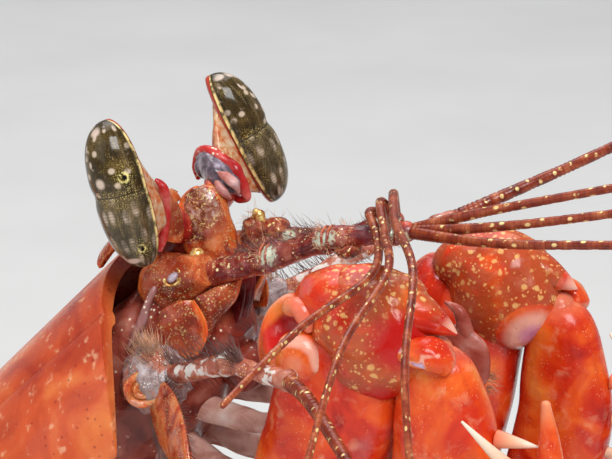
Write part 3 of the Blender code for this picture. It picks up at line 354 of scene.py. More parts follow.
class Shape:
    """Closed surfaces gathered into one object, with a map named lay of round and along."""

    def __init__(self):
        self.points, self.faces, self.lay, self.finish, self.tint = [], [], [], [], []
        self.count = 0

    def add(self, rings, finish=0, turn=None, tint=None):
        """Adds rings as one closed surface. Turn gives each column's place on the map."""
        rows, columns = rings.shape[:2]
        index = self.count + np.arange(rows * columns).reshape(rows, columns)
        beside = np.roll(index, -1, axis=1)
        quads = np.stack([index[:-1], beside[:-1], beside[1:], index[1:]], -1).reshape(-1, 4)
        steps = np.linalg.norm(np.diff(rings.mean(1), axis=0), axis=1)
        along = np.concatenate([[0], np.cumsum(steps)])
        along /= max(along[-1], 1e-9)
        if turn is None:
            u0 = np.arange(columns) / columns
            u1 = u0 + 1 / columns
        else:
            u0 = np.asarray(turn, float)
            u1 = np.roll(u0, -1)
        lay = np.empty((rows - 1, columns, 4, 2))
        lay[:, :, 0, 0] = lay[:, :, 3, 0] = u0
        lay[:, :, 1, 0] = lay[:, :, 2, 0] = u1
        lay[:, :, :2, 1] = along[:-1, None, None]
        lay[:, :, 2:, 1] = along[1:, None, None]
        points = rings.reshape(-1, 3)
        caps = [list(index[0][::-1]), list(index[-1])]
        cap_lay = [np.stack([u0[::-1], np.zeros(columns)], 1), np.stack([u0, np.ones(columns)], 1)]
        corner = points[quads - self.count] - points.mean(0)
        volume = (np.einsum("ij,ij->i", corner[:, 0], np.cross(corner[:, 1], corner[:, 2])).sum()
                  + np.einsum("ij,ij->i", corner[:, 0], np.cross(corner[:, 2], corner[:, 3])).sum())
        lay = lay.reshape(-1, 4, 2)
        if volume < 0:
            quads = quads[:, ::-1]
            lay = lay[:, ::-1]
            caps = [cap[::-1] for cap in caps]
            cap_lay = [row[::-1] for row in cap_lay]
        self.points.append(points)
        self.faces += quads.tolist() + caps
        self.lay.append(lay.reshape(-1, 2))
        self.lay += cap_lay
        self.finish += [finish] * (len(quads) + 2)
        self.tint.append(np.zeros(rows * columns) if tint is None else np.asarray(tint, float).ravel())
        self.count += rows * columns
        return rings

    def make(self, name, finishes, slot, nodes=(), sharp=55):
        mesh = bpy.data.meshes.new(name)
        points = np.concatenate(self.points) * MM + SHIFT
        mesh.from_pydata(points.tolist(), [], self.faces)
        mesh.polygons.foreach_set("material_index", self.finish)
        mesh.polygons.foreach_set("use_smooth", [True] * len(self.faces))
        layer = mesh.uv_layers.new(name="lay")
        layer.uv.foreach_set("vector", np.concatenate(self.lay).astype(np.float32).ravel())
        tint = mesh.attributes.new("tint", "FLOAT", "POINT")
        tint.data.foreach_set("value", np.concatenate(self.tint).astype(np.float32))
        for finish in finishes:
            mesh.materials.append(finish)
        mesh.update()
        mesh.set_sharp_from_angle(angle=math.radians(sharp))
        return stand_in(name, mesh, nodes)


def stand_in(name, mesh, nodes):
    """Puts a mesh in the scene as a piece of the animal."""
    piece = bpy.data.objects.new(name, mesh)
    bpy.context.scene.collection.objects.link(piece)
    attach(piece, "root")
    if nodes:
        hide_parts(*nodes)
    return piece


class Hairs:
    """Fine tapered bristles gathered into one object, each a small patch on the map."""

    def __init__(self, seed):
        self.random = random.Random(seed)
        self.points, self.faces, self.places = [], [], []

    def grow(self, root, way, length, radius, bend=(0, 0, 0), place=(0.5, 0.5)):
        """One bristle of three sides, bending as it goes."""
        way = unit(way)
        bend = np.asarray(bend, float)
        side = unit(np.cross(way, (0.31, 0.87, 0.39)))
        other = np.cross(way, side)
        base = len(self.points)
        for t, size in ((0.0, 1.0), (0.35, 0.85), (0.7, 0.55)):
            middle = root + way * (length * t) + bend * (length * t * t)
            for k in range(3):
                angle = 2 * math.pi * k / 3
                self.points.append(middle + (side * math.cos(angle) + other * math.sin(angle)) * radius * size)
        self.points.append(root + way * length + bend * length)
        self.faces.append((base + 2, base + 1, base))
        for row in (0, 3):
            for k in range(3):
                a, b = base + row + k, base + row + (k + 1) % 3
                self.faces += [(a, b, b + 3), (a, b + 3, a + 3)]
        for k in range(3):
            self.faces.append((base + 6 + k, base + 6 + (k + 1) % 3, base + 9))
        self.places.append(place)

    def make(self, name, finish, slot):
        mesh = bpy.data.meshes.new(name)
        points = np.array(self.points) * MM + SHIFT
        mesh.from_pydata(points.tolist(), [], self.faces)
        per_hair = len(self.faces) // len(self.places)
        size = 0.0015
        corners = np.array(((-size, -size), (size, -size), (0.0, size)))
        spots = np.repeat(np.clip(np.array(self.places, float), size, 1 - size), per_hair, axis=0)
        lay = spots[:, None, :] + corners[None, :, :]
        mesh.uv_layers.new(name="OFBake").uv.foreach_set("vector", lay.astype(np.float32).ravel())
        mesh.materials.append(finish)
        mesh.update()
        return stand_in(name, mesh, ())


# Finishes

class Finish:
    """A material under construction. Sizes are in millimetres."""

    def __init__(self, name, sockets):
        self.material = bpy.data.materials.new(name)
        self.material.use_nodes = True
        self.tree = self.material.node_tree
        self.shader = self.tree.nodes["Principled BSDF"]
        for key, value in sockets.items():
            self.shader.inputs[key].default_value = value
        self.place = self.put("ShaderNodeTexCoord", {}).outputs["Object"]
        lay = self.put("ShaderNodeUVMap", {}, uv_map="lay")
        parts = self.put("ShaderNodeSeparateXYZ", {0: lay.outputs["UV"]})
        self.u, self.v = parts.outputs[0], parts.outputs[1]
        self.tint = self.put("ShaderNodeAttribute", {}, attribute_name="tint").outputs["Fac"]

    def put(self, kind, inputs, **settings):
        node = self.tree.nodes.new(kind)
        for key, value in settings.items():
            setattr(node, key, value)
        for key, value in inputs.items():
            if isinstance(value, bpy.types.NodeSocket):
                self.tree.links.new(value, node.inputs[key])
            else:
                node.inputs[key].default_value = value
        return node

    def calc(self, operation, *values):
        return self.put("ShaderNodeMath", dict(enumerate(values)), operation=operation).outputs[0]

    def noise(self, size, detail=3.0, where=None, warp=0.0):
        node = self.put("ShaderNodeTexNoise", {"Vector": where or self.place, "Scale": 1 / (size * MM),
                                               "Detail": detail, "Distortion": warp})
        return node.outputs["Fac"]

    def shaken(self, size, amount):
        """The place in space, pushed about by noise so that round marks turn ragged."""
        node = self.put("ShaderNodeTexNoise", {"Vector": self.place, "Scale": 1 / (size * MM), "Detail": 3.0})
        push = self.put("ShaderNodeVectorMath", {0: node.outputs["Color"], 1: (amount * MM,) * 3, 2: self.place},
                        operation="MULTIPLY_ADD")
        return push.outputs[0]

    def cells(self, size, randomness=1.0, where=None, feature="F1"):
        node = self.put("ShaderNodeTexVoronoi", {"Vector": where or self.place, "Scale": 1 / (size * MM),
                                                 "Randomness": randomness}, feature=feature)
        return node.outputs["Distance"]

    def grid(self, round_count, along_count, randomness=0.4, u=None, v=None):
        """Distance from the nearest of many points set in rows round and along the map."""
        u = self.calc("MULTIPLY", u or self.u, round_count)
        v = self.calc("MULTIPLY", v or self.v, along_count)
        where = self.put("ShaderNodeCombineXYZ", {0: u, 1: v}).outputs[0]
        node = self.put("ShaderNodeTexVoronoi", {"Vector": where, "Scale": 1.0, "Randomness": randomness},
                        voronoi_dimensions="2D")
        return node.outputs["Distance"]

    def step(self, value, low, high, to_low=0.0, to_high=1.0):
        """A soft step: to_low below low, to_high above high."""
        node = self.put("ShaderNodeMapRange", {0: value, 1: low, 2: high, 3: to_low, 4: to_high},
                        interpolation_type="SMOOTHSTEP")
        return node.outputs[0]

    def spot(self, u, v, half_u, half_v, soft=0.4):
        """One soft-edged oval on the map."""
        across = self.calc("WRAP", self.calc("SUBTRACT", self.u, u), 0.5, -0.5)
        across = self.calc("DIVIDE", across, half_u)
        along = self.calc("DIVIDE", self.calc("SUBTRACT", self.v, v), half_v)
        squares = self.calc("ADD", self.calc("MULTIPLY", across, across), self.calc("MULTIPLY", along, along))
        return self.step(self.calc("SQRT", squares), 1.0, 1.0 - soft)

    def ramp(self, value, *stops):
        node = self.put("ShaderNodeValToRGB", {0: value})
        elements = node.color_ramp.elements
        while len(elements) < len(stops):
            elements.new(0.5)
        for element, (at, colour) in zip(elements, stops):
            element.position = at
            element.color = (*colour, 1.0)
        return node.outputs[0]

    def mix(self, share, a, b):
        node = self.put("ShaderNodeMix", {}, data_type="RGBA")
        for key, value in ((0, share), (6, a), (7, b)):
            if isinstance(value, bpy.types.NodeSocket):
                self.tree.links.new(value, node.inputs[key])
            else:
                node.inputs[key].default_value = value if key == 0 else (*value, 1.0)
        return node.outputs[2]

    def bump(self, height, depth, strength=1.0, under=None):
        inputs = {"Height": height, "Distance": depth * MM, "Strength": strength}
        if under is not None:
            inputs["Normal"] = under
        return self.put("ShaderNodeBump", inputs).outputs[0]

    def done(self, colour, roughness=None, normal=None, metallic=None):
        for key, value in (("Base Color", colour), ("Roughness", roughness), ("Normal", normal),
                           ("Metallic", metallic)):
            if value is not None:
                self.tree.links.new(value, self.shader.inputs[key])
        return self.material


def fleshy(depth, weight, roughness=0.3, coat=0.4):
    """Sockets of a glossy skin that lets light a little way in."""
    return {"Subsurface Weight": weight * 0.5, "Subsurface Scale": depth * MM, "Roughness": roughness,
            "Subsurface Radius": (1.0, 0.25, 0.12), "Coat Weight": coat * 0.28, "Coat Roughness": 0.1, "IOR": 1.36}


GOLD = (0.86, 0.62, 0.24)
CREAM = (0.80, 0.68, 0.52)
SILVER_GREEN = (0.62, 0.70, 0.55)


def cornea_finish():
    f = Finish("eye_surface", {"Coat Weight": 0.25, "Coat Roughness": 0.03, "IOR": 1.3})
    wide = f.noise(1.3, 4, warp=0.4)
    upper = f.ramp(wide, (0.30, (0.024, 0.014, 0.004)), (0.52, (0.076, 0.046, 0.011)), (0.72, (0.17, 0.105, 0.03)))
    lower = f.ramp(wide, (0.30, (0.046, 0.031, 0.014)), (0.52, (0.110, 0.078, 0.036)), (0.72, (0.20, 0.145, 0.072)))
    below = f.step(f.v, BAND + 0.02, BAND - 0.02)
    colour = f.mix(below, upper, lower)
    streaks = f.noise(0.9, 3, where=f.put("ShaderNodeCombineXYZ", {
        0: f.calc("MULTIPLY", f.u, 0.030), 1: f.calc("MULTIPLY", f.v, 0.0030)}).outputs[0])
    colour = f.mix(f.step(streaks, 0.50, 0.66, 0.0, 0.45), colour, (0.30, 0.21, 0.10))
    facets = f.cells(0.15, 0.35)
    colour = f.mix(f.step(facets, 0.35, 0.6, 0.0, 0.5), colour, (0.02, 0.014, 0.005))
    glints = f.step(f.cells(0.10, 1.0), 0.36, 0.22)
    crowd = f.step(f.noise(1.1, 3), 0.50, 0.62)
    colour = f.mix(f.calc("MULTIPLY", f.calc("MULTIPLY", glints, crowd), 0.6), colour, (0.58, 0.44, 0.13))
    small = f.calc("MULTIPLY", f.step(f.grid(12.0, 11.0, 0.75), 0.28, 0.12), f.step(f.noise(1.3, 2), 0.42, 0.54))
    tall = f.calc("MULTIPLY", f.step(f.grid(15.0, 5.6, 0.6), 0.36, 0.10), f.step(f.noise(1.1, 2), 0.34, 0.52, 0.2, 0.9))
    rippled = f.step(f.put("ShaderNodeTexWave", {"Vector": f.put("ShaderNodeCombineXYZ", {
        0: f.v}).outputs[0], "Scale": 16.0, "Distortion": 1.5}).outputs["Fac"], 0.1, 0.7, 0.55, 1.0)
    tall = f.calc("MULTIPLY", tall, rippled)
    spots = f.calc("ADD", f.calc("MULTIPLY", small, f.calc("SUBTRACT", 1.0, below)), f.calc("MULTIPLY", tall, below))
    colour = f.mix(f.calc("MULTIPLY", spots, 0.9), colour, (0.64, 0.50, 0.38))
    for u, v, half_u, half_v in EYE_PATCHES:
        colour = f.mix(f.calc("MULTIPLY", f.spot(u, v, half_u, half_v, 0.6), 0.95), colour, (0.70, 0.54, 0.44))
    band = f.calc("ABSOLUTE", f.calc("SUBTRACT", f.v, BAND))
    colour = f.mix(f.calc("MULTIPLY", f.step(band, 0.05, 0.015), f.calc("MULTIPLY", glints, 0.9)),
                   colour, (0.70, 0.54, 0.18))
    colour = f.mix(f.step(band, 0.007, 0.003, 0.0, 0.75), colour, (0.02, 0.014, 0.006))
    ragged = f.step(f.noise(0.30, 3), 0.46, 0.56)
    for u, v, size in EYE_RINGS:
        around = f.spot(u, v, 0.085 * size, 0.115 * size, 0.85)
        colour = f.mix(f.calc("MULTIPLY", around, f.step(f.cells(0.15, 1.0), 0.32, 0.20)), colour, (0.02, 0.015, 0.004))
        colour = f.mix(f.calc("MULTIPLY", around, f.calc("MULTIPLY", glints, 0.95)), colour, (0.84, 0.68, 0.20))
        ring = f.calc("SUBTRACT", f.spot(u, v, 0.036 * size, 0.045 * size, 0.5), f.spot(u, v, 0.018 * size, 0.024 * size, 0.4))
        colour = f.mix(f.calc("MULTIPLY", ring, ragged), colour, (0.92, 0.80, 0.30))
        colour = f.mix(f.spot(u + 0.004, v, 0.016 * size, 0.022 * size, 0.6), colour, (0.003, 0.003, 0.002))
    # Painted shade: the front of the eye darkens towards its sides and both ends, standing in for the dark outline that
    # the clear cornea shows where it is seen edge-on.
    rim = f.calc("ABSOLUTE", f.calc("WRAP", f.calc("SUBTRACT", f.u, 0.25), 0.5, -0.5))
    colour = f.mix(f.step(rim, 0.185, 0.245, 0.0, 0.6), colour, (0.010, 0.007, 0.005))
    tips = f.calc("MAXIMUM", f.step(f.v, 0.93, 0.99), f.step(f.v, 0.07, 0.01))
    colour = f.mix(f.calc("MULTIPLY", tips, 0.5), colour, (0.010, 0.007, 0.005))
    edge_line = f.step(f.calc("ABSOLUTE", f.calc("SUBTRACT", rim, 0.252)), 0.020, 0.006)
    colour = f.mix(f.calc("MULTIPLY", edge_line, f.step(f.noise(0.5, 3), 0.38, 0.56, 0.15, 1.0)),
                   colour, (0.90, 0.68, 0.28))
    colour = f.mix(f.step(rim, 0.272, 0.285), colour, (0.50, 0.05, 0.03))
    return f.done(colour, f.step(f.noise(0.9, 2), 0.3, 0.7, 0.10, 0.24), f.bump(facets, 0.005, 0.3))


def stalk_finish():
    f = Finish("eyestalk_skin", fleshy(1.0, 0.35, 0.24, 0.7))
    wide = f.noise(1.1, 5, warp=0.8)
    red = f.ramp(wide, (0.3, (0.26, 0.008, 0.009)), (0.48, (0.50, 0.03, 0.022)), (0.60, (0.68, 0.13, 0.07)),
                 (0.75, (0.74, 0.34, 0.26)))
    fine = f.noise(0.5, 5, warp=0.6)
    pale = f.ramp(fine, (0.32, (0.52, 0.11, 0.03)), (0.45, (0.58, 0.25, 0.11)), (0.56, (0.60, 0.39, 0.23)),
                  (0.75, (0.70, 0.57, 0.42)))
    ragged = f.calc("ADD", f.v, f.calc("MULTIPLY", f.calc("SUBTRACT", wide, 0.5), 0.35))
    colour = f.mix(f.step(ragged, 0.34, 0.54), red, pale)
    border = f.calc("MULTIPLY", f.step(f.v, 0.72, 0.92), f.step(f.noise(0.45, 4, warp=0.8), 0.44, 0.56))
    colour = f.mix(f.calc("MULTIPLY", border, 0.8), colour, (0.62, 0.10, 0.025))
    streaks = f.noise(0.5, 3, where=f.put("ShaderNodeCombineXYZ", {
        0: f.calc("MULTIPLY", f.u, 0.02), 1: f.calc("MULTIPLY", f.v, 0.002)}).outputs[0])
    colour = f.mix(f.step(streaks, 0.56, 0.70, 0.0, 0.4), colour, (0.60, 0.07, 0.04))
    colour = f.mix(flecks(f, 0.3, 0.50), colour, GOLD)
    return f.done(colour, None, f.bump(fine, 0.04, 0.4, f.bump(wide, 0.10, 0.7)))


def flecks(f, size, share, where_size=2.5):
    """A mask of small bright specks, thicker in some places than in others."""
    spots = f.step(f.cells(size, 1.0), 0.30, 0.18)
    crowd = f.step(f.noise(where_size, 2), share, share + 0.12)
    return f.calc("MULTIPLY", spots, crowd)


def face_finish():
    """Amber shell, bright where the tint is high, dark and glassy where it is low."""
    f = Finish("face_shell", fleshy(1.5, 0.6, 0.2, 0.9))
    wide = f.noise(1.7, 6, warp=1.0)
    colour = f.ramp(wide, (0.28, (0.15, 0.012, 0.008)), (0.43, (0.40, 0.045, 0.016)), (0.56, (0.62, 0.14, 0.035)),
                    (0.74, (0.66, 0.33, 0.18)))
    pale = f.step(f.noise(1.3, 4, warp=0.8), 0.56, 0.70, 0.0, 0.5)
    colour = f.mix(pale, colour, (0.42, 0.24, 0.20))
    deep = f.ramp(f.noise(2.2, 4, warp=0.6), (0.34, (0.12, 0.010, 0.006)), (0.52, (0.32, 0.04, 0.014)),
                  (0.70, (0.46, 0.13, 0.06)))
    colour = f.mix(f.step(f.tint, -0.05, -0.45, 0.0, 0.9), colour, deep)
    low = f.step(f.tint, -0.6, -1.3)
    inner = f.ramp(f.noise(0.7, 5, warp=1.2), (0.34, (0.07, 0.012, 0.007)), (0.47, (0.22, 0.065, 0.032)),
                   (0.58, (0.36, 0.20, 0.15)), (0.70, (0.56, 0.46, 0.48)))
    colour = f.mix(f.calc("MULTIPLY", low, 0.85), colour, inner)
    scribble = f.step(f.calc("ABSOLUTE", f.calc("SUBTRACT", f.noise(0.8, 3, warp=1.4), 0.5)), 0.030, 0.006)
    broken = f.step(f.noise(0.5, 2), 0.48, 0.58)
    colour = f.mix(f.calc("MULTIPLY", f.calc("MULTIPLY", scribble, broken), f.calc("ADD", f.calc("MULTIPLY", low, 0.7), 0.2)),
                   colour, (0.86, 0.66, 0.32))
    colour = f.mix(f.calc("MULTIPLY", f.step(f.tint, 0.1, 0.9), 0.85), colour, (0.80, 0.15, 0.02))
    marks = f.calc("MAXIMUM", flecks(f, 0.30, 0.47), flecks(f, 0.16, 0.44, 1.6))
    colour = f.mix(marks, colour, GOLD)
    relief = f.bump(wide, 0.12, 0.8)
    return f.done(colour, f.step(marks, 0, 1, 0.20, 0.12), f.bump(f.noise(0.35, 4), 0.04, 0.6, relief),
                  f.calc("MULTIPLY", marks, 0.5))


def rim_finish():
    f = Finish("face_rims", fleshy(0.8, 0.5, 0.2, 0.8))
    colour = f.ramp(f.noise(1.2, 3), (0.35, (0.78, 0.08, 0.015)), (0.6, (0.90, 0.24, 0.05)), (0.8, (0.92, 0.45, 0.22)))
    return f.done(colour, None, f.bump(f.noise(0.4, 2), 0.03, 0.5))


def glass_finish():
    """The dark glassy swelling under an eye; the palest lilac tones in its colour are painted highlights."""
    f = Finish("smoky_lens", fleshy(0.8, 0.4, 0.06, 1.0))
    # The top stops of this ramp are painted highlights on the glass.
    colour = f.ramp(f.noise(0.9, 4, warp=0.5), (0.32, (0.05, 0.035, 0.045)), (0.50, (0.15, 0.11, 0.14)),
                    (0.62, (0.34, 0.29, 0.35)), (0.78, (0.66, 0.62, 0.70)))
    return f.done(colour, None, f.bump(f.noise(0.5, 3), 0.04, 0.5))


def gold_finish():
    f = Finish("gold_specks", {"Roughness": 0.2, "Coat Weight": 0.5, "Metallic": 0.5})
    colour = f.ramp(f.noise(0.35, 4), (0.35, (0.30, 0.07, 0.02)), (0.47, (0.66, 0.32, 0.07)), (0.60, (0.95, 0.74, 0.28)))
    return f.done(colour, None, f.bump(f.noise(0.3, 3), 0.05, 0.7))


def feeler_finish():
    f = Finish("feeler_shell", fleshy(0.9, 0.5, 0.18, 0.9))
    wide = f.noise(1.1, 5, warp=0.7)
    colour = f.ramp(wide, (0.28, (0.075, 0.004, 0.006)), (0.46, (0.20, 0.020, 0.015)), (0.60, (0.34, 0.070, 0.040)),
                    (0.76, (0.46, 0.18, 0.15)))
    colour = f.mix(f.step(f.noise(1.8, 3), 0.52, 0.68, 0.0, 0.45), colour, (0.28, 0.085, 0.13))
    colour = f.mix(f.step(f.v, 0.24, 0.04, 0.0, 0.8), colour, (0.54, 0.11, 0.03))
    low = f.step(f.calc("ABSOLUTE", f.calc("WRAP", f.calc("SUBTRACT", f.u, 0.75), 0.5, -0.5)), 0.18, 0.05)
    colour = f.mix(f.calc("MULTIPLY", low, 0.65), colour, (0.72, 0.10, 0.045))
    ridge = f.step(f.calc("ABSOLUTE", f.calc("WRAP", f.calc("SUBTRACT", f.u, 0.20), 0.5, -0.5)), 0.05, 0.01)
    colour = f.mix(f.calc("MULTIPLY", ridge, f.step(f.noise(0.9, 2), 0.42, 0.6, 0.0, 0.5)), colour, (0.74, 0.36, 0.34))
    joints = None
    for v, half_u in ((0.485, 0.24), (0.722, 0.22), (0.950, 0.20)):
        oval = f.spot(0.44, v, half_u, 0.062, 0.9)
        torn = f.calc("MULTIPLY", f.calc("SUBTRACT", f.noise(0.55, 5, warp=1.6), 0.5), 2.6)
        patch = f.calc("MULTIPLY", f.step(f.calc("ADD", oval, torn), 0.52, 0.72), f.step(oval, 0.02, 0.15))
        ring = f.step(f.calc("ABSOLUTE", f.calc("SUBTRACT", f.v, v + 0.014)), 0.012, 0.004)
        colour = f.mix(f.calc("MULTIPLY", ring, 0.5), colour, (0.14, 0.01, 0.015))
        colour = f.mix(f.calc("MULTIPLY", f.step(oval, 0.0, 0.5), 0.55), colour, (0.34, 0.20, 0.14))
        colour = f.mix(patch, colour, f.mix(f.noise(0.35, 2), (0.40, 0.42, 0.30), (0.86, 0.90, 0.74)))
        joints = patch if joints is None else f.calc("ADD", joints, patch)
    crowded = f.calc("MULTIPLY", flecks(f, 0.50, 0.36, 0.9), f.step(f.calc("ABSOLUTE", f.calc("SUBTRACT", f.v, 0.30)), 0.17, 0.04))
    marks = f.calc("MAXIMUM", crowded, f.calc("MAXIMUM", flecks(f, 0.30, 0.48, 1.2), flecks(f, 0.16, 0.47, 1.1)))
    colour = f.mix(marks, colour, (0.94, 0.76, 0.38))
    shiny = f.calc("MINIMUM", f.calc("ADD", marks, f.calc("MULTIPLY", joints, 0.5)), 1.0)
    relief = f.bump(wide, 0.08, 0.7)
    return f.done(colour, f.step(shiny, 0, 1, 0.22, 0.12), f.bump(f.noise(0.3, 3), 0.03, 0.4, relief),
                  f.calc("MULTIPLY", shiny, 0.5))


def whip_finish(rings):
    """The ringed lashes, with small gold dots in uneven rows."""
    f = Finish("lash_shell_%d" % rings, fleshy(0.5, 0.45, 0.26, 0.6))
    colour = f.ramp(f.noise(1.0, 4), (0.3, (0.11, 0.010, 0.005)), (0.5, (0.27, 0.040, 0.013)), (0.72, (0.46, 0.13, 0.045)))
    band = f.calc("FRACT", f.calc("MULTIPLY", f.v, float(rings)))
    groove = f.step(f.calc("ABSOLUTE", f.calc("SUBTRACT", band, 0.5)), 0.34, 0.5)
    colour = f.mix(f.calc("MULTIPLY", groove, 0.55), colour, (0.10, 0.01, 0.01))
    dots = f.calc("MULTIPLY", f.step(f.grid(3.0, rings / 2.4, 0.75), 0.25, 0.12), f.step(f.noise(0.8, 2), 0.46, 0.54))
    colour = f.mix(dots, colour, (0.90, 0.66, 0.28))
    return f.done(colour, None, f.bump(groove, 0.05, -0.8), f.calc("MULTIPLY", dots, 0.35))


def trunk_finish():
    """The foot of the second feeler: grey, grainy, rusty in places, with violet edges."""
    f = Finish("feeler_foot", fleshy(0.8, 0.35, 0.3, 0.5))
    wide = f.noise(1.3, 5, warp=0.6)
    colour = f.ramp(wide, (0.3, (0.14, 0.08, 0.08)), (0.48, (0.34, 0.25, 0.24)), (0.68, (0.60, 0.50, 0.50)))
    colour = f.mix(f.step(f.noise(1.9, 3), 0.50, 0.62, 0.0, 0.85), colour, (0.46, 0.12, 0.05))
    colour = f.mix(f.step(f.noise(2.6, 2), 0.56, 0.68, 0.0, 0.5), colour, (0.44, 0.28, 0.44))
    grains = f.cells(0.15)
    colour = f.mix(f.step(grains, 0.24, 0.10, 0.0, 0.85), colour, (0.03, 0.02, 0.02))
    colour = f.mix(flecks(f, 0.20, 0.46, 1.2), colour, (0.86, 0.84, 0.78))
    return f.done(colour, None, f.bump(grains, 0.05, 0.7, f.bump(wide, 0.10, 0.7)))


def stem_finish():
    """The slim articles of the second feeler, pinkish brown with long white marks."""
    f = Finish("feeler_stem", fleshy(0.8, 0.45, 0.26, 0.6))
    wide = f.noise(1.0, 5, warp=0.6)
    colour = f.ramp(wide, (0.3, (0.20, 0.035, 0.022)), (0.48, (0.42, 0.11, 0.065)), (0.62, (0.56, 0.22, 0.15)),
                    (0.76, (0.62, 0.36, 0.30)))
    long_marks = f.step(f.noise(0.9, 3, where=f.put("ShaderNodeCombineXYZ", {
        0: f.calc("MULTIPLY", f.u, 0.0030), 1: f.calc("MULTIPLY", f.v, 0.009)}).outputs[0]), 0.53, 0.58)
    colour = f.mix(f.calc("MULTIPLY", long_marks, 0.92), colour, (0.80, 0.76, 0.70))
    colour = f.mix(flecks(f, 0.2, 0.50), colour, GOLD)
    return f.done(colour, None, f.bump(wide, 0.06, 0.6))


def claw_finish(name, wrist=False):
    """Glossy orange-red shell: pale pink to lavender where the tint is high, deep red where it is low."""
    f = Finish(name, fleshy(1.2, 0.22, 0.24, 0.5))
    wide = f.noise(4.2, 5, warp=0.8)
    colour = f.ramp(wide, (0.30, (0.34, 0.004, 0.004)), (0.45, (0.64, 0.032, 0.006)), (0.58, (0.80, 0.105, 0.013)),
                    (0.74, (0.88, 0.26, 0.045)))
    fine = f.noise(1.1, 6, warp=0.5)
    colour = f.mix(f.step(fine, 0.55, 0.74, 0.0, 0.45), colour, (0.82, 0.36, 0.20))
    streaks = f.noise(1.2, 4, where=f.put("ShaderNodeCombineXYZ", {
        0: f.calc("MULTIPLY", f.u, 0.030), 1: f.calc("MULTIPLY", f.v, 0.0040)}).outputs[0])
    colour = f.mix(f.step(streaks, 0.50, 0.70, 0.0, 0.22), colour, (0.46, 0.012, 0.008))
    colour = f.mix(f.step(f.noise(3.4, 3), 0.60, 0.72, 0.0, 0.3), colour, (0.60, 0.20, 0.20))
    dust = f.step(f.cells(0.26), 0.22, 0.08)
    colour = f.mix(f.calc("MULTIPLY", dust, f.step(f.noise(2.4, 3), 0.46, 0.62, 0.0, 0.7)), colour, (0.86, 0.48, 0.26))
    if wrist:
        spared = f.step(f.tint, 0.12, 0.02)
        brown = f.calc("MULTIPLY", spared, f.step(f.noise(3.2, 4, warp=0.8), 0.32, 0.50, 0.0, 0.8))
        colour = f.mix(brown, colour, (0.40, 0.070, 0.020))
        ragged = f.shaken(0.5, 0.42)
        blots = f.calc("MULTIPLY", f.step(f.cells(0.70, 1.0, ragged), 0.36, 0.20), f.step(f.noise(2.6, 3), 0.36, 0.50))
        small = f.calc("MULTIPLY", f.step(f.cells(0.36, 1.0, ragged), 0.32, 0.16), f.step(f.noise(2.0, 3), 0.38, 0.50))
        dots = f.calc("MULTIPLY", f.calc("MAXIMUM", blots, small), spared)
        colour = f.mix(f.calc("MULTIPLY", dots, 0.8), colour, (0.84, 0.47, 0.16))
    else:
        ends = f.calc("MAXIMUM", f.step(f.v, 0.95, 1.0), f.step(f.v, 0.05, 0.0))
        colour = f.mix(f.calc("MULTIPLY", ends, 0.5), colour, (0.84, 0.38, 0.22))
    colour = f.mix(f.step(f.tint, -0.05, -0.85), colour, (0.52, 0.006, 0.003))
    colour = f.mix(f.calc("MULTIPLY", f.step(f.tint, 0.25, 0.95), 0.85), colour, (0.86, 0.44, 0.33))
    colour = f.mix(f.step(f.tint, 1.0, 1.4), colour, (0.60, 0.20, 0.34))
    colour = f.mix(f.step(f.tint, 1.3, 1.9), colour, (0.72, 0.58, 0.76))
    pores = f.step(f.cells(0.7), 0.10, 0.04)
    colour = f.mix(f.calc("MULTIPLY", pores, 0.5), colour, (0.30, 0.01, 0.005))
    relief = f.bump(f.noise(1.6, 5, warp=0.5), 0.16, 0.7)
    return f.done(colour, f.step(fine, 0.3, 0.7, 0.14, 0.32), f.bump(fine, 0.06, 0.5, relief))


def tooth_finish():
    f = Finish("claw_teeth", fleshy(1.0, 0.5, 0.16, 0.9))
    colour = f.ramp(f.v, (0.0, (0.74, 0.12, 0.04)), (0.45, (0.84, 0.45, 0.28)), (0.9, (0.86, 0.74, 0.60)))
    return f.done(colour, None, f.bump(f.noise(0.6, 3), 0.02, 0.4))


def shell_finish(name, banded=True):
    """The body's plates, pale in front and orange-red behind, with a dark hind edge."""
    f = Finish(name, fleshy(1.6, 0.25, 0.3, 0.5))
    wide = f.noise(7.0, 5, warp=0.7)
    red = f.ramp(wide, (0.30, (0.34, 0.025, 0.012)), (0.48, (0.60, 0.09, 0.025)), (0.64, (0.76, 0.22, 0.06)),
                 (0.80, (0.80, 0.38, 0.16)))
    pale = f.ramp(f.noise(3.0, 4, warp=0.5), (0.3, (0.70, 0.34, 0.20)), (0.55, (0.80, 0.58, 0.42)),
                  (0.8, (0.84, 0.72, 0.60)))
    ragged = f.calc("ADD", f.v, f.calc("MULTIPLY", f.calc("SUBTRACT", f.noise(2.2, 4), 0.5), 0.35))
    colour = f.mix(f.step(ragged, 0.44, 0.30), red, pale) if banded else red
    small = f.noise(0.9, 4)
    colour = f.mix(f.step(small, 0.58, 0.72, 0.0, 0.5), colour, (0.86, 0.52, 0.30))
    pits = f.cells(0.8)
    colour = f.mix(f.step(pits, 0.18, 0.08, 0.0, 0.6), colour, (0.26, 0.02, 0.015))
    if banded:
        colour = f.mix(f.step(f.v, 0.90, 0.955, 0.0, 0.9), colour, (0.20, 0.012, 0.012))
        colour = f.mix(f.step(f.v, 0.965, 0.985, 0.0, 0.8), colour, (0.80, 0.42, 0.22))
    relief = f.bump(wide, 0.15, 0.4)
    relief = f.bump(f.step(pits, 0.20, 0.06), 0.05, -0.5, relief)
    return f.done(colour, f.step(small, 0.3, 0.7, 0.24, 0.42), f.bump(small, 0.03, 0.3, relief))


def limb_finish(name, dark, middle, light):
    f = Finish(name, fleshy(1.0, 0.4, 0.28, 0.5))
    wide = f.noise(1.8, 5, warp=0.5)
    colour = f.ramp(wide, (0.3, dark), (0.52, middle), (0.74, light))
    colour = f.mix(flecks(f, 0.4, 0.56), colour, CREAM)
    return f.done(colour, f.step(wide, 0.3, 0.7, 0.22, 0.38), f.bump(wide, 0.06, 0.4))


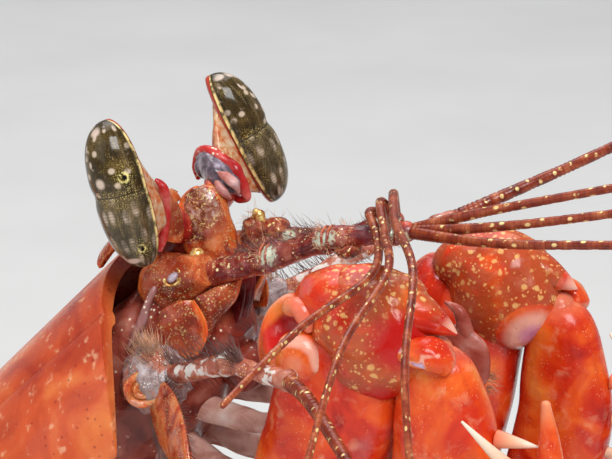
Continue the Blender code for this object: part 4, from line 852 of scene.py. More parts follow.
def hair_finish(name, colour, rough=0.45):
    material = bpy.data.materials.new(name)
    material.use_nodes = True
    tree = material.node_tree
    shader = tree.nodes["Principled BSDF"]
    shader.inputs["Roughness"].default_value = rough
    place = tree.nodes.new("ShaderNodeTexCoord")
    speckle = tree.nodes.new("ShaderNodeTexNoise")
    speckle.inputs["Scale"].default_value = 900.0
    ramp = tree.nodes.new("ShaderNodeValToRGB")
    ramp.color_ramp.elements[0].position = 0.35
    ramp.color_ramp.elements[0].color = (*[c * 0.5 for c in colour], 1.0)
    ramp.color_ramp.elements[1].position = 0.65
    ramp.color_ramp.elements[1].color = (*[min(c * 1.5, 1.0) for c in colour], 1.0)
    tree.links.new(place.outputs["Object"], speckle.inputs["Vector"])
    tree.links.new(speckle.outputs["Fac"], ramp.inputs[0])
    tree.links.new(ramp.outputs[0], shader.inputs["Base Color"])
    return material


# Eyes

def eye_axes(side):
    eye = EYES[side]
    look = head_direction(eye["look"])
    long_axis = head_direction(eye["long"])
    long_axis = unit(long_axis - look * long_axis.dot(look))
    return head_point(eye["centre"]), long_axis, unit(np.cross(look, long_axis)), look


def waist(t):
    return 1.0 - 0.09 * math.exp(-((t - 2 * BAND + 1) / 0.11) ** 2)


def make_eyes(looks):
    for side, _ in SIDES:
        centre, long_axis, wide, look = eye_axes(side)
        rings = []
        for i in range(110):
            t = -math.cos(math.pi * (i + 0.2) / 109.4)
            size = max(1 - abs(t) ** (3.1 if t > 0 else 2.6), 1e-6) ** 0.5
            pinched = size * waist(t)
            rings.append(oval_ring(centre + long_axis * (EYE_HALF_LENGTH * t), wide, look,
                                   EYE_HALF_WIDTH * mix(size, pinched, 0.3), EYE_FRONT_DEPTH * pinched,
                                   EYE_BACK_DEPTH * size ** 0.3, 96))
        shape = Shape()
        shape.add(np.array(rings))
        shape.make("eye_" + side, [looks["cornea"]], "cornea", ["cornea_" + side])
        stalk = Shape()
        stalk.add(stalk_rings(side))
        if side == "left":
            band = head_line(((6.93, 5.76, 2.6), (7.44, 6.42, 2.5), (8.28, 6.92, 2.3), (9.07, 6.85, 2.0), (9.63, 6.39, 1.8),
                              (9.89, 5.61, 1.7), (10.09, 4.8, 1.7), (10.17, 4.0, 1.7), (9.88, 3.19, 1.8),
                              (9.41, 2.55, 2.0), (9.09, 2.17, 2.1), (8.49, 2.46, 2.2), (8.22, 3.1, 2.3)))
            thick = (0.14, 0.17, 0.20, 0.25, 0.30, 0.34, 0.37, 0.37, 0.34, 0.30, 0.26, 0.20, 0.12)
            stations = [(place, size, size * 1.3) for place, size in zip(band, thick)]
            collar = limb(stations, 18, 8, wide=head_direction((-0.5, 0.1, 0.86)))
            stalk.add(crinkle(collar, 0.9, 0.10, 2.0), 1)
            lens = head_point((8.50, 5.62, 2.25))
            axes = (head_direction((0.5, -0.09, -0.86)), head_direction((0.6, 0.79, 0.1)), head_direction((0.66, -0.6, 0.45)))
            stalk.add(crinkle(ball(lens, axes, (0.75, 0.95, 1.15), 56, 40), 1.1, 0.10, 3.0), 2)
            low = head_line(((8.2, 5.1, 1.2), (8.7, 4.5, 0.4), (9.0, 3.6, 0.2), (9.3, 2.8, 0.8)))
            stalk.add(crinkle(patch(band[2:9], low, 0.3, 0.55, axes[0]), 0.7, 0.2, 1.0), 2)
            for places, thick in ((((9.7, 4.6, 0.5), (10.1, 3.95, 0.3), (10.2, 3.25, 0.3), (9.8, 2.65, 0.6)), 0.34),
                                  (((9.1, 4.45, 0.4), (9.3, 3.9, 0.1), (9.3, 3.3, 0.1), (9.1, 2.8, 0.4)), 0.30),
                                  (((8.3, 4.85, 0.9), (8.4, 4.35, 0.6), (8.4, 3.8, 0.5)), 0.26)):
                stalk.add(crinkle(tube(head_line(places), thick, 20, 10), 0.6, 0.14, thick * 9), 3)
        else:
            front = head_line(((9.05, 6.45, -5.0), (8.95, 5.87, -4.8), (8.32, 5.33, -4.5), (7.30, 4.68, -4.2),
                               (6.34, 4.04, -4.1), (5.52, 3.55, -4.1), (4.80, 3.2, -4.1)))
            back = head_line(((6.9, 6.9, -3.4), (6.2, 6.3, -3.2), (5.2, 5.5, -2.8), (4.3, 4.6, -2.4), (3.6, 3.7, -2.2)))
            for line, thick in ((front, (0.12, 0.34, 0.40, 0.42, 0.40, 0.34, 0.2)), (back, (0.12, 0.3, 0.36, 0.34, 0.2))):
                stations = [(place, size * 1.15, size * 0.8) for place, size in zip(line, thick)]
                stalk.add(crinkle(limb(stations, 18, 8, wide=head_direction((0.1, 0.9, 0))), 0.9, 0.09, 2.0), 1)
            # The web between the near stalk and the block, with its middle painted dark: painted shade where it lies in
            # shadow.
            veil = patch(front[1:6], head_line(((7.4, 4.6, -2.6), (6.9, 3.9, -2.4), (6.3, 3.2, -2.4), (5.6, 2.6, -2.6))),
                         0.3, 0.3, head_direction((0.5, -0.09, -0.86)))
            veil = crinkle(veil, 0.8, 0.12, 4.0)
            stalk.add(veil, 4, tint=-0.8 * near_point(veil, head_point((7.0, 4.0, -3.4)), 1.6))
        stalk.make("stalk_" + side, [looks["stalk"], looks["collar"], looks["lens"], looks["fold"], looks["amber"]], "eyestalk",
                   ["eyestalk_" + side])


def stalk_rings(side):
    """The stalk, round at its foot and widening to the whole back of the eye."""
    centre, long_axis, wide, look = eye_axes(side)
    foot = head_point(EYES[side]["foot"])
    end = centre - look * (EYE_BACK_DEPTH * 0.35)
    lean = unit(end - foot)
    side_axis = unit(np.cross(lean, long_axis))
    first_long = unit(np.cross(side_axis, lean))
    wide = -wide if side_axis.dot(wide) < 0 else wide
    rings = []
    for t, half_long, half_wide in curve_through(EYESTALK, 7):
        if side == "right":
            half_long *= 1 - 0.22 * math.sin(math.pi * t)
        blend = mix(0.6, 1.0, t)
        long_now = unit(mix(first_long, long_axis, blend))
        wide_now = unit(mix(side_axis, wide, blend))
        rings.append(oval_ring(mix(foot, end, t), wide_now, long_now, half_wide, half_long, half_long, 64))
    return crinkle(crinkle(domed(rings), 1.4, 0.16, 1.0), 0.5, 0.05, 4.0)


# Head

def make_head(looks):
    shape = Shape()
    _, _, up = body_frame(-1)
    rings = [oval_ring(head_point((forward, rise, 0)), LEFT, up, half, top, bottom, 96, 0.9)
             for forward, rise, half, top, bottom in curve_through(HEAD_RINGS, 8)]
    # The head's lower part, the eye base and the mouth take the dark face finish: painted shade for the shadow this
    # part of the head lies in.
    shape.add(crinkle(domed(rings, (False, True), 0.3), 1.6, 0.25, 5.0), 3)
    neck = limb([(head_point((f, u, 0)), w, d) for f, u, w, d in EYE_BASE], 48, 9)
    shape.add(crinkle(neck, 0.8, 0.2, 2.0), 3)
    block = domed([block_ring(row) for row in curve_through(EYE_BLOCK, 8)], (True, True), 0.5)
    keel = [head_point((f + d * 0.97, u, 0)) for u, f, w, d in EYE_BLOCK]
    crest = [head_point(p) for p in ((7.9, 4.95, 0.0), (6.9, 5.0, -0.5), (5.6, 4.4, -1.0), (4.6, 3.4, -1.3))]
    near_edge = [head_point((f - d * 0.60, u, -w * 0.95)) for u, f, w, d in EYE_BLOCK]
    block = crinkle(crinkle(block, 1.5, 0.34, 2.0), 0.5, 0.10, 5.0)
    block = block + (block - block.mean(1, keepdims=True)) * 0.10 * near_line(block, keel, 0.7)[:, :, None]
    bright = np.maximum(near_line(block, keel, 0.55), near_line(block, crest, 0.5))
    bright = np.maximum(bright, 0.8 * near_line(block, near_edge, 0.45))
    glassy = near_point(block, head_point((7.6, 3.7, -1.2)), 2.6)
    shape.add(block, 1, tint=np.where(bright > 0.15, bright, -1.6 * glassy))
    shape.add(tube(keel, 0.13, 12, 10), 2)
    shape.add(tube(crest, 0.13, 12, 10), 2)
    mouth_axes = (LEFT, head_direction((1, 0, 0)), head_direction((0, 1, 0)))
    shape.add(crinkle(ball(head_point((1.0, -6.6, 0)), mouth_axes, (2.6, 1.6, 1.8)), 1.2, 0.2, 1.0), 3)
    for _, sign in SIDES:
        axis = head_direction((0.80, -0.32, 0.12 * sign))
        hood = revolved(head_point((3.0, 1.15, 2.75 * sign)), axis, (
            (-2.4, 1.2, 1.2), (-1.6, 1.8, 1.75), (-0.5, 2.15, 2.05), (0.5, 2.05, 1.95), (1.5, 1.65, 1.6),
            (2.6, 1.25, 1.25), (3.2, 1.05, 1.05)), 4.0, 72)
        out = head_direction((0.5, -0.09, 0.86 * sign))
        edge = head_line(((3.18, 3.1, 3.3), (1.71, 2.67, 3.6), (0.82, 1.49, 3.7), (1.18, 0.53, 3.8),
                          (2.27, -0.54, 3.7), (3.73, -1.0, 3.4)), sign)
        hollow = near_point(hood, head_point((3.4, 1.3, 4.2 * sign)), 2.7)
        rim = near_line(hood, edge, 0.8)
        hood = hood - out * (0.30 * hollow)[:, :, None]
        shape.add(crinkle(hood, 0.7, 0.16, 7.0), 1, tint=np.where(rim > 0.1, rim, -0.75 * hollow))
        shape.add(crinkle(tube(edge, 0.2, 14, 10), 0.7, 0.06), 2)
        # A small lens-like bump on the camera-facing side of the hood; its pale lilac colour is a painted highlight
        # standing in for the glossy shine there.
        painted_highlight_bead = head_point((4.25, 1.14, 4.38 * sign))
        long_way = head_direction((0.86, 0.0, -0.5 * sign))
        high_way = head_direction((0.05, 0.99, 0.05 * sign))
        shape.add(crinkle(ball(painted_highlight_bead, (out, high_way, long_way), (0.20, 0.27, 0.44), 32, 20), 0.5, 0.07), 8)
        shape.add(loop_tube(painted_highlight_bead + out * 0.06, out, long_way * 0.64, high_way * 0.50, 0.10, 2.0, (0.8, 2.05)), 5)
        side_out = head_direction((0.5, 0.0, sign))
        for left_edge, right_edge, finish, swell in (
                (((3.88, -0.36, 5.4), (2.53, -0.07, 5.6), (1.58, -0.48, 5.9), (0.3, -1.3, 6.1), (-0.6, -2.4, 6.2)),
                 ((4.47, -1.06, 4.7), (4.24, -1.99, 4.7), (3.9, -2.79, 4.7), (3.26, -3.45, 4.8), (2.2, -4.0, 5.2)), 1, 0.5),
                (((3.88, -0.84, 3.6), (3.61, -1.86, 3.8), (3.18, -2.74, 4.0), (2.62, -3.43, 4.1)),
                 ((6.77, -2.1, 2.0), (5.43, -2.7, 2.0), (4.03, -2.87, 2.4), (3.12, -2.94, 3.0)), 1, 0.7),
                (((4.03, -1.6, -0.3), (2.37, -2.6, -0.2), (1.06, -3.4, -0.2)),
                 ((6.1, -2.3, -0.8), (4.4, -3.4, -0.8), (2.1, -4.3, -0.8)), 7, 0.4)):
            a, b = head_line(left_edge, sign), head_line(right_edge, sign)
            sheet = crinkle(patch(a, b, 0.45, swell, side_out), 0.9, 0.14)
            middle = mix(a.mean(0), b.mean(0), 0.5)
            rim = near_line(sheet, list(b), 0.45)
            shape.add(sheet, finish, tint=np.where(rim > 0.1, rim, -0.8 * near_point(sheet, middle, 2.2)))
            shape.add(tube(b, 0.11), 7 if finish == 7 else 2)
        arm = head_line(((2.98, 1.5, 5.0), (1.91, 0.9, 5.6), (0.46, 0.2, 6.0), (-1.03, -0.2, 6.2)), sign)
        shape.add(crinkle(tube(arm, 0.3), 0.8, 0.1), 4)
        knob = head_point((5.78, 1.3, 2.5 * sign))
        shape.add(crinkle(ball(knob, mouth_axes, (0.5, 0.55, 0.45), 24, 14), 0.4, 0.12), 5)
    shape.make("face", [looks["face"], looks["amber"], looks["rim"], looks["deep"], looks["dusky"], looks["gold"],
                        looks["lens"], looks["maroon"], looks["painted_highlight_bead"]], "face", ["head"])
    plate = Shape()
    t = np.linspace(0, 1, 40)[:, None]
    u = np.linspace(-1, 1, 33)[None, :]
    half = 4.3 * (1 - t ** 1.6) * (1.0 - 0.07 * (t < 0.1)) + 0.35
    height = 6.5 - 0.9 * t * t - 1.1 * u * u * (1 - t) + 0.28 * np.exp(-(u / 0.08) ** 2)
    grid = np.array([[head_point((mix(0.1, 6.2, a), height[i, j], half[i, 0] * b))
                      for j, b in enumerate(u[0])] for i, a in enumerate(t[:, 0])])
    plate.add(blade_rings(grid, lambda a, b: 0.8 + 0 * a * b))
    plate.make("front_plate", [looks["amber"]], "face", ["rostral_plate"])


# Feelers

def make_antennules(looks):
    for side, sign in SIDES:
        joints = [head_point(p) for p in ANTENNULES[side]]
        shape = Shape()
        stations = [(joints[0], 1.35, 1.3)]
        for near, far, slim in zip(joints, joints[1:], ANTENNULE_RADII):
            slim *= 0.86
            stations.append((mix(near, far, 0.3), slim * 1.12, slim * 1.12))
            stations.append((mix(near, far, 0.7), slim * 0.98, slim))
            stations.append((mix(near, far, 0.92), slim * 1.2, slim * 1.18))
            stations.append((mix(near, far, 0.985), slim * 1.05, slim * 1.05))
        shape.add(crinkle(crinkle(limb(stations, 48, 14), 0.9, 0.13, 7.0), 0.3, 0.035, 2.0))
        for near, far, slim in zip(joints, joints[1:], ANTENNULE_RADII):
            ahead = unit(far - near)
            one = unit(np.cross(ahead, LEFT))
            for at, size in ((-0.34, 0.98), (0.10, 0.90)):
                ring = loop_tube(far + ahead * at, ahead, one * slim * size + ahead * 0.2,
                                 np.cross(ahead, one) * slim * size, 0.09, 3.0)
                shape.add(ring, 0)
        axes = (LEFT, head_direction((1, 0, 0)), head_direction((0, 1, 0)))
        for place, radii, finish in KNOBS[side]:
            lump = ball(head_point(place), axes, radii, 36, 26)
            shape.add(crinkle(crinkle(lump, 1.0, 0.35, 2.0), 0.4, 0.10, 5.0), finish)
        shape.make("first_feeler_" + side, [looks["feeler"], looks["knob"], looks["gold"]], "feeler",
                   ["antennule_" + side])
        end, before = joints[-1], joints[-2]
        ahead = unit(end - before)
        foot = end + ahead * 0.5
        lashes = Shape()
        lashes.add(ball(foot, (LEFT, ahead, np.cross(LEFT, ahead)), (0.72, 0.8, 0.72), 24, 14), 1)
        for route in FLAGELLA[side]:
            points = [(foot, 0.46, 0.46)]
            for k, place in enumerate(route, 1):
                radius = mix(0.37, 0.2, k / len(route))
                points.append((head_point(place), radius, radius))
            lashes.add(ringed(limb(points, 14, 60, wide=np.array((0, 0, 1.0))), 0.34, 0.10))
        lashes.make("first_lashes_" + side, [looks["lash"], looks["feeler"]], "feeler", ["antennule_flagella_" + side])


def ringed(rings, spacing, depth):
    """Draws a lash in at even steps of its length."""
    centres = rings.mean(1)
    along = np.concatenate([[0], np.cumsum(np.linalg.norm(np.diff(centres, axis=0), axis=1))])
    size = 1 - depth * np.maximum(np.cos(2 * np.pi * along / spacing), 0) ** 3
    return centres[:, None, :] + (rings - centres[:, None, :]) * size[:, None, None]


def make_antennae(looks):
    for side, sign in SIDES:
        joints = [head_point(p) for p in ANTENNAE[side]]
        root = head_point((-2.6, -2.8, sign * 5.0))
        shape = Shape()
        trunk = limb([(root, 2.2, 2.2), (joints[0], 2.05, 2.3), (mix(joints[0], joints[1], 0.18), 1.1, 1.2)], 64, 16)
        ridges = 1 + 0.035 * np.cos(np.arange(64) / 64 * 2 * math.pi * 16)[None, :, None]
        middle = trunk.mean(1, keepdims=True)
        trunk = middle + (trunk - middle) * ridges
        shape.add(crinkle(crinkle(trunk, 1.2, 0.3, 1.5), 0.35, 0.10, 4.0), 0)
        stations = [(mix(joints[0], joints[1], 0.02), 0.88, 0.88), (mix(joints[0], joints[1], 0.5), 0.66, 0.68),
                    (mix(joints[0], joints[1], 0.93), 0.74, 0.76), (joints[1], 0.82, 0.82),
                    (mix(joints[1], joints[2], 0.15), 0.62, 0.62), (mix(joints[1], joints[2], 0.6), 0.58, 0.58),
                    (joints[2], 0.7, 0.7)]
        shape.add(crinkle(crinkle(limb(stations, 32, 12), 0.8, 0.12, 2.0), 0.3, 0.04, 6.0), 1)
        out = head_direction((0.5, -0.09, 0.86 * sign))
        one = unit(np.cross(out, head_direction((0.3, 1.0, 0))))
        other = np.cross(out, one)
        centre = head_point((0.2, -3.45, sign * 9.7))
        shape.add(loop_tube(centre, out, one * 1.25, other * 1.0, 0.26, 4.0), 3)
        shape.add(loop_tube(centre - out * 0.05, out, one * 0.7, other * 0.5, 0.2, 9.0), 3)
        shape.add(crinkle(ball(centre - out * 0.25, (one, out, other), (1.2, 0.35, 0.95), 36, 18), 0.8, 0.1), 3)
        whip = [(joints[2], 0.56, 0.56)]
        for route, radius in zip(ANTENNA_FLAGELLA[side], (0.44, 0.36, 0.22)):
            whip.append((head_point(route), radius, radius))
        shape.add(ringed(limb(whip, 14, 60), 0.36, 0.12), 2)
        base, tip, across = scale_lines(sign)
        shape.add(leaf(base, tip, across, 2.3, 0.8, 40, 21), 3)
        shape.make("second_feeler_" + side, [looks["trunk"], looks["stem"], looks["lash"], looks["amber"], looks["rim"],
                                             looks["dusky"]], "feeler", ["antenna_" + side])


# Claws

def claw_point(side, sign, forward, up, out=0.0):
    shift = CLAW_SHIFT[side]
    return head_point((forward + shift[0], up + shift[1], sign * (CLAW_SIDE + out)))


def beside_merus(length, offset):
    """Forward and up of a point at a length back from the merus's end, offset under it."""
    ahead = unit((MERUS_END[0] - MERUS_START[0], MERUS_END[1] - MERUS_START[1]))
    under = np.array((ahead[1], -ahead[0]))
    place = np.array(MERUS_END) - ahead * length + under * offset
    return place[0], place[1]


def claw_limb(side, sign, rows, sides, steps, power=0.9):
    """A claw article from rows of length along, offset under, half depth, half width and out."""
    stations = [(claw_point(side, sign, *beside_merus(length, offset), out), half_width, half_depth)
                for length, offset, half_depth, half_width, out in rows]
    return limb(stations, sides, steps, power=power)


def make_claws(looks):
    finishes = [looks["claw"], looks["tooth"], looks["rosy"], looks["hot"], looks["lens"]]
    for side, sign in SIDES:
        outward = LEFT * sign

        def places(rows):
            return [claw_point(side, sign, f, u, out) for f, u, out in rows]

        merus = Shape()
        rows = [(length, 0.0, depth, width, 0.0) for length, depth, width in (
            (38.8, 1.5, 1.3), (35.0, 3.2, 2.4), (26.0, 4.1, 2.9), (13.0, 4.4, 3.1), (5.5, 4.2, 3.0),
            (1.6, 3.5, 2.6), (0.0, 1.8, 1.4))]
        merus.add(crinkle(claw_limb(side, sign, rows, 72, 14), 5.0, 0.35, 2.0))
        ahead = head_direction((0.8625, 0.5067, 0))
        upward = head_direction((-0.5067, 0.8625, 0))
        margin = places(((7.2, -10.2, 0.9), (8.3, -8.4, 0.9), (9.5, -6.9, 0.8), (10.9, -6.05, 0.7),
                         (12.2, -5.75, 0.6), (13.3, -6.0, 0.7)))
        hollow = claw_point(side, sign, 12.6, -7.4, 2.1)
        shoulder = ball(claw_point(side, sign, *MERUS_SHOULDER), (upward, outward, ahead), (2.3, 2.5, 3.2), 96, 72)
        shoulder = dent(shoulder, hollow, 2.3, 1.7, -outward)
        shoulder = crinkle(shoulder, 1.6, 0.14, 3.0)
        edge = near_line(shoulder, margin, 0.85)
        shoulder = shoulder + (shoulder - shoulder.mean((0, 1))) * (0.07 * edge)[:, :, None]
        merus.add(shoulder, 0, tint=edge - 1.3 * near_point(shoulder, hollow, 2.6))
        # The lobe's right border is painted pale pink: partly its own pale margin, partly a painted highlight on that
        # border.
        lobe_rim = places(((12.1, -7.75, 2.5), (13.0, -8.05, 2.7), (13.7, -8.8, 2.8), (13.8, -9.7, 2.8),
                           (13.2, -10.6, 2.6)))
        lobe = ball(claw_point(side, sign, 12.1, -9.4, 1.9), (upward, outward, ahead), (1.75, 1.3, 1.9), 72, 52)
        lobe = crinkle(lobe, 1.2, 0.12, 5.0)
        rim = near_line(lobe, lobe_rim, 0.75)
        merus.add(lobe + outward * (0.14 * rim)[:, :, None], 0, tint=rim)
        merus.make("claw_arm_" + side, finishes, "claw", ["claw_merus_" + side])

        base = Shape()
        start = head_point((-16.0, -6.2, sign * 6.4))
        knee = beside_merus(35.5, 0)
        stations = [(start, 2.4, 2.6)]
        stations += [(p, 2.1, 2.3) for p in places(((-19.0, -15.0, -0.8), (-22.0, -22.5, -0.2), (*knee, 0.0)))]
        base.add(crinkle(limb(stations, 40, 12), 3.0, 0.3, 6.0))
        base.make("claw_root_" + side, [looks["claw"]], "claw", ["claw_base_" + side])

        wrist = Shape()
        axes = (head_direction(CARPUS_ACROSS), LEFT, head_direction(CARPUS_ALONG))
        body = ball(claw_point(side, sign, *CARPUS_CENTRE), axes, (4.2, 3.5, 4.4), 112, 84)
        body = dent(body, claw_point(side, sign, 17.6, -10.2, 3.4), 2.4, 0.8, -outward)
        body = dent(body, claw_point(side, sign, 13.6, -10.5, 3.0), 1.8, 0.5, -outward)
        body = crinkle(crinkle(body, 2.2, 0.40, 3.0), 0.7, 0.09, 1.0)
        dark = near_point(body, claw_point(side, sign, 18.4, -12.9, 2.3), 2.6)
        dark = np.maximum(dark, near_point(body, claw_point(side, sign, 14.0, -14.8, 2.0), 2.2))
        violet = near_point(body, claw_point(side, sign, 16.4, -15.0, -2.0), 2.6) * (side == "left")
        wrist.add(body, tint=np.where(violet > 0, 1.35 * violet, -dark))
        lobe = ball(claw_point(side, sign, *CARPUS_LOBE), axes, (3.0, 2.6, 1.9), 84, 60)
        lobe = crinkle(crinkle(lobe, 2.0, 0.22, 6.0), 0.8, 0.05, 2.0)
        wrist.add(lobe, tint=0.2 * near_point(lobe, claw_point(side, sign, 14.4, -7.4, 2.0), 3.4))
        ridge = [(claw_point(side, sign, f, u, out), r * 1.3, r) for f, u, r, out in CARPUS_RIDGE]
        ridge = crinkle(limb(ridge, 40, 10, bulge=0.5), 1.4, 0.12, 2.0)
        wrist.add(ridge, tint=np.full(ridge.shape[:2], 0.22))
        rim = places(((12.9, -6.5, 0.6), (13.8, -6.6, 1.4), (14.5, -7.0, 1.9), (14.5, -7.7, 2.1), (14.1, -8.4, 2.1)))
        rim = crinkle(tube(rim, 0.62, 32, 12), 0.8, 0.06)
        wrist.add(rim, tint=np.full(rim.shape[:2], 0.5))
        horn = limb([(claw_point(side, sign, f, u), r, r) for f, u, r in CARPUS_HORN], 40, 12, bulge=0.3)
        tip = near_point(horn, claw_point(side, sign, 20.4, -14.8), 1.6)
        wrist.add(horn, tint=tip)
        wrist.make("claw_wrist_" + side, [looks["wrist"]] + finishes[1:], "claw", ["claw_carpus_" + side])

        hand = Shape()
        rows = [(length, PROPODUS_OFFSET - rise, depth, width, 0.0) for length, rise, depth, width in PROPODUS]
        hand.add(crinkle(claw_limb(side, sign, rows, 64, 14), 4.0, 0.3, 9.0))
        lip = limb([(claw_point(side, sign, f, u, out), r, r * 0.8) for f, u, r, out in HAND_LIP], 48, 16, bulge=0.7)
        lip = crinkle(crinkle(lip, 1.2, 0.16), 0.5, 0.05, 3.0)
        vee = places(((18.2, -13.1, 2.5), (18.4, -14.2, 2.6), (18.6, -14.8, 2.6), (19.15, -14.4, 2.6), (19.6, -15.0, 2.3)))
        hand.add(lip, 0, tint=2.4 * near_line(lip, vee, 0.34))
        for k in range(COMB_SPINES):
            length = mix(4.0, 29.0, k / (COMB_SPINES - 1))
            reach, radius = (4.5, 0.75) if k > 2 else (5.0, 0.6)
            root = claw_point(side, sign, *beside_merus(length, PROPODUS_OFFSET + 2.4))
            tip = claw_point(side, sign, *beside_merus(length - 0.5, PROPODUS_OFFSET + reach))
            hand.add(limb([(root, radius, radius), (mix(root, tip, 0.6), radius * 0.5, radius * 0.5),
                           (tip, 0.06, 0.06)], 16, 5, bulge=0.3), 1)
        hand.make("claw_hand_" + side, finishes, "claw", ["claw_propodus_" + side])

        finger = Shape()
        offset = PROPODUS_OFFSET + DACTYL_OFFSET
        rows = [(length, offset + drop, depth, width, 0.2) for length, drop, depth, width in (
            (38.6, -4.4, 1.6, 1.1), (35.6, -0.5, 2.0, 1.5), (24.0, 0.2, 1.6, 1.3), (11.0, 0.3, 1.3, 1.1),
            (4.5, -0.3, 0.9, 0.8), (0.5, -1.6, 0.3, 0.3))]
        finger.add(crinkle(claw_limb(side, sign, rows, 40, 14, 1.0), 2.5, 0.15, 2.0))
        for k in range(DACTYL_TEETH):
            t = k / (DACTYL_TEETH - 1)
            length = mix(27.0, 5.0, t)
            reach = mix(0.55, 1.0, t)
            route = ((length + 1.0, 0.2, 0.5), (length - 0.6 * reach, -2.2 * reach, 2.2),
                     (length - 3.0 * reach, -5.6 * reach, 3.3))
            tooth = [(claw_point(side, sign, *beside_merus(at, offset + drop), out), r, r)
                     for (at, drop, out), r in zip(route, (0.75, 0.5, 0.08))]
            finger.add(limb(tooth, 24, 10, bulge=0.3), 1)
        finger.make("claw_finger_" + side, [looks["claw"], looks["tooth"]], "claw", ["claw_dactyl_" + side])


# Mouth limbs

def make_maxillipeds(looks):
    for number, route in MAXILLIPEDS.items():
        for side, sign in SIDES:
            places = [head_point((f, u, sign * out)) for f, u, out in route]
            radii = (1.0, 0.8, 0.75, 0.45) if number == 1 else (1.7, 1.25, 1.15, 1.2)
            shape = Shape()
            shape.add(crinkle(limb([(p, r, r) for p, r in zip(places, radii)], 28, 12), 1.5, 0.2, number))
            if number > 1:
                ahead = unit(places[3] - places[2])
                deep = unit(np.cross(ahead, LEFT))
                hand = places[3] + ahead * 1.6
                shape.add(crinkle(ball(hand, (ahead, LEFT, deep), (3.2, 0.9, 2.6), 48, 24), 1.5, 0.15, number), 1)
                hook_root = hand + ahead * 2.6 + deep * 0.4
                hook_tip = hook_root + ahead * 1.2 + deep * 2.4
                shape.add(limb([(hook_root, 0.5, 0.6), ((hook_root + hook_tip) / 2 + ahead * 0.6, 0.4, 0.45),
                                (hook_tip, 0.12, 0.12)], 16, 8), 1)
            shape.make("mouth_limb_%d_%s" % (number, side), [looks["pale"], looks["silver"]], "pale_limb",
                       ["maxilliped_%d_%s" % (number, side)])


# Body

def somite_ring(s, scale=1.0, arc_steps=60, under_steps=5):
    """The outline of one ring of the body, with a pleuron hanging at each side."""
    half = along_stops(WIDTH_STOPS, s) * scale
    top = along_stops(TOP_STOPS, s) * scale
    drop = along_stops(PLEURON_STOPS, s) * scale
    angle = math.pi * (np.arange(arc_steps + 1) / arc_steps - 0.5)
    arc = np.stack([half * np.sin(angle), top * np.maximum(np.cos(angle), 0) ** 0.85], 1)
    under = [(half, 0.0)] + [(x * half, z * drop) for x, z in UNDERSIDE] + [(0, -0.86 * drop)]
    under += [(-x, z) for x, z in under[-2::-1]]
    under = curve_through(under, under_steps)[1:-1]
    outline = np.concatenate([arc, under])
    centre, _, up = body_frame(s)
    return centre + outline[:, :1] * LEFT + outline[:, 1:] * up


def make_body(looks):
    for name in ("thorax_6", "thorax_7", "thorax_8") + tuple("abdomen_%d" % k for k in range(1, 7)):
        start, end = SPANS[name]
        length = end - start
        stations = curve_through(((start + 0.1, 0.93), (start + 0.14 * length, 0.985), (start + 0.55 * length, 1.0),
                                  (end - 0.10 * length, 1.03), (end + 0.25, 1.02)), 9)
        rings = [somite_ring(s, scale) for s, scale in stations]
        rings.append(somite_ring(end + 0.30, 0.985))
        rings.append(somite_ring(end - 0.4, 0.95))
        shape = Shape()
        shape.add(crinkle(np.array(rings), 6.0, 0.22, start))
        if name == "abdomen_6":
            for _, sign in SIDES:
                root = body_point(end - 3.0, sign * 11.6, 2.2)
                tip = body_point(end + 1.4, sign * 13.0, 2.6)
                shape.add(limb([(root, 0.8, 0.8), (mix(root, tip, 0.6), 0.5, 0.5), (tip, 0.08, 0.08)], 16, 6), 1)
        shape.make("ring_" + name, [looks["shell"], looks["tooth"]], "shell", [name])


def carapace_point(s, u, inset):
    angle = math.radians(97) * u
    half = along_stops(WIDTH_STOPS, min(s, THORAX_START)) - inset
    top = along_stops(TOP_STOPS, min(s, THORAX_START)) + CARAPACE_EDGE_DROP - inset
    groove = 0.32 * math.exp(-((abs(u) - 0.36 - 0.1 * (1 - s / 36)) / 0.022) ** 2) * min(1.0, (36 - s) / 8)
    cross = 0.28 * math.exp(-((s - 22 - 5 * u * u) / 0.7) ** 2) * (abs(u) < 0.55)
    keel = 0.22 * math.exp(-(u / 0.012) ** 2)
    lift = keel - groove - cross
    return body_point(s, (half + lift) * math.sin(angle), (top + lift) * math.cos(angle) - CARAPACE_EDGE_DROP)


def make_carapace(looks):
    grid = []
    for i in range(70):
        t = i / 69
        row = []
        for j in range(121):
            u = 2 * j / 120 - 1
            front = 0.3 + 5.0 * abs(u) ** 3
            back = CARAPACE_LENGTH - 2.2 * (1 - u * u) - 5.0 * abs(u) ** 7
            row.append(carapace_point(mix(front, back, t), u, CARAPACE_WALL / 2))
        grid.append(row)
    shape = Shape()
    columns = 121
    turn = np.concatenate([np.linspace(0, 1, columns), np.linspace(0, 1, columns)[-2:0:-1]])
    shape.add(blade_rings(np.array(grid), lambda a, b: CARAPACE_WALL + 0.25 * np.exp(-((np.abs(b) - 1) / 0.03) ** 2) + 0 * a),
              turn=turn)
    shape.make("back_shield", [looks["shield"]], "shell", ["carapace"])


def make_front_body(looks):
    rings = []
    for s, width, top, bottom in curve_through(((0.6, 0.60, 0.52, 6.6), (5, 0.64, 0.58, 7.6), (14, 0.70, 0.60, 8.2),
                                                (28, 0.72, 0.60, 7.8), (36.4, 0.74, 0.60, 5.4)), 10):
        half = along_stops(WIDTH_STOPS, min(s, THORAX_START)) * width
        high = along_stops(TOP_STOPS, min(s, THORAX_START)) * top
        centre, _, up = body_frame(s)
        rings.append(oval_ring(centre, LEFT, up, half, high, bottom, 80, 0.85))
    for s in (36.8, 38.0, 39.6):
        centre, _, up = body_frame(s)
        rings.append(oval_ring(centre, LEFT, up, along_stops(WIDTH_STOPS, 37.5), 4.9, 4.6, 80, 0.85))
    shape = Shape()
    shape.add(crinkle(domed(rings, (True, False), 0.3), 2.5, 0.3, 8.0))
    shape.make("front_body", [looks["skin"]], "shell", ["thorax_front"])


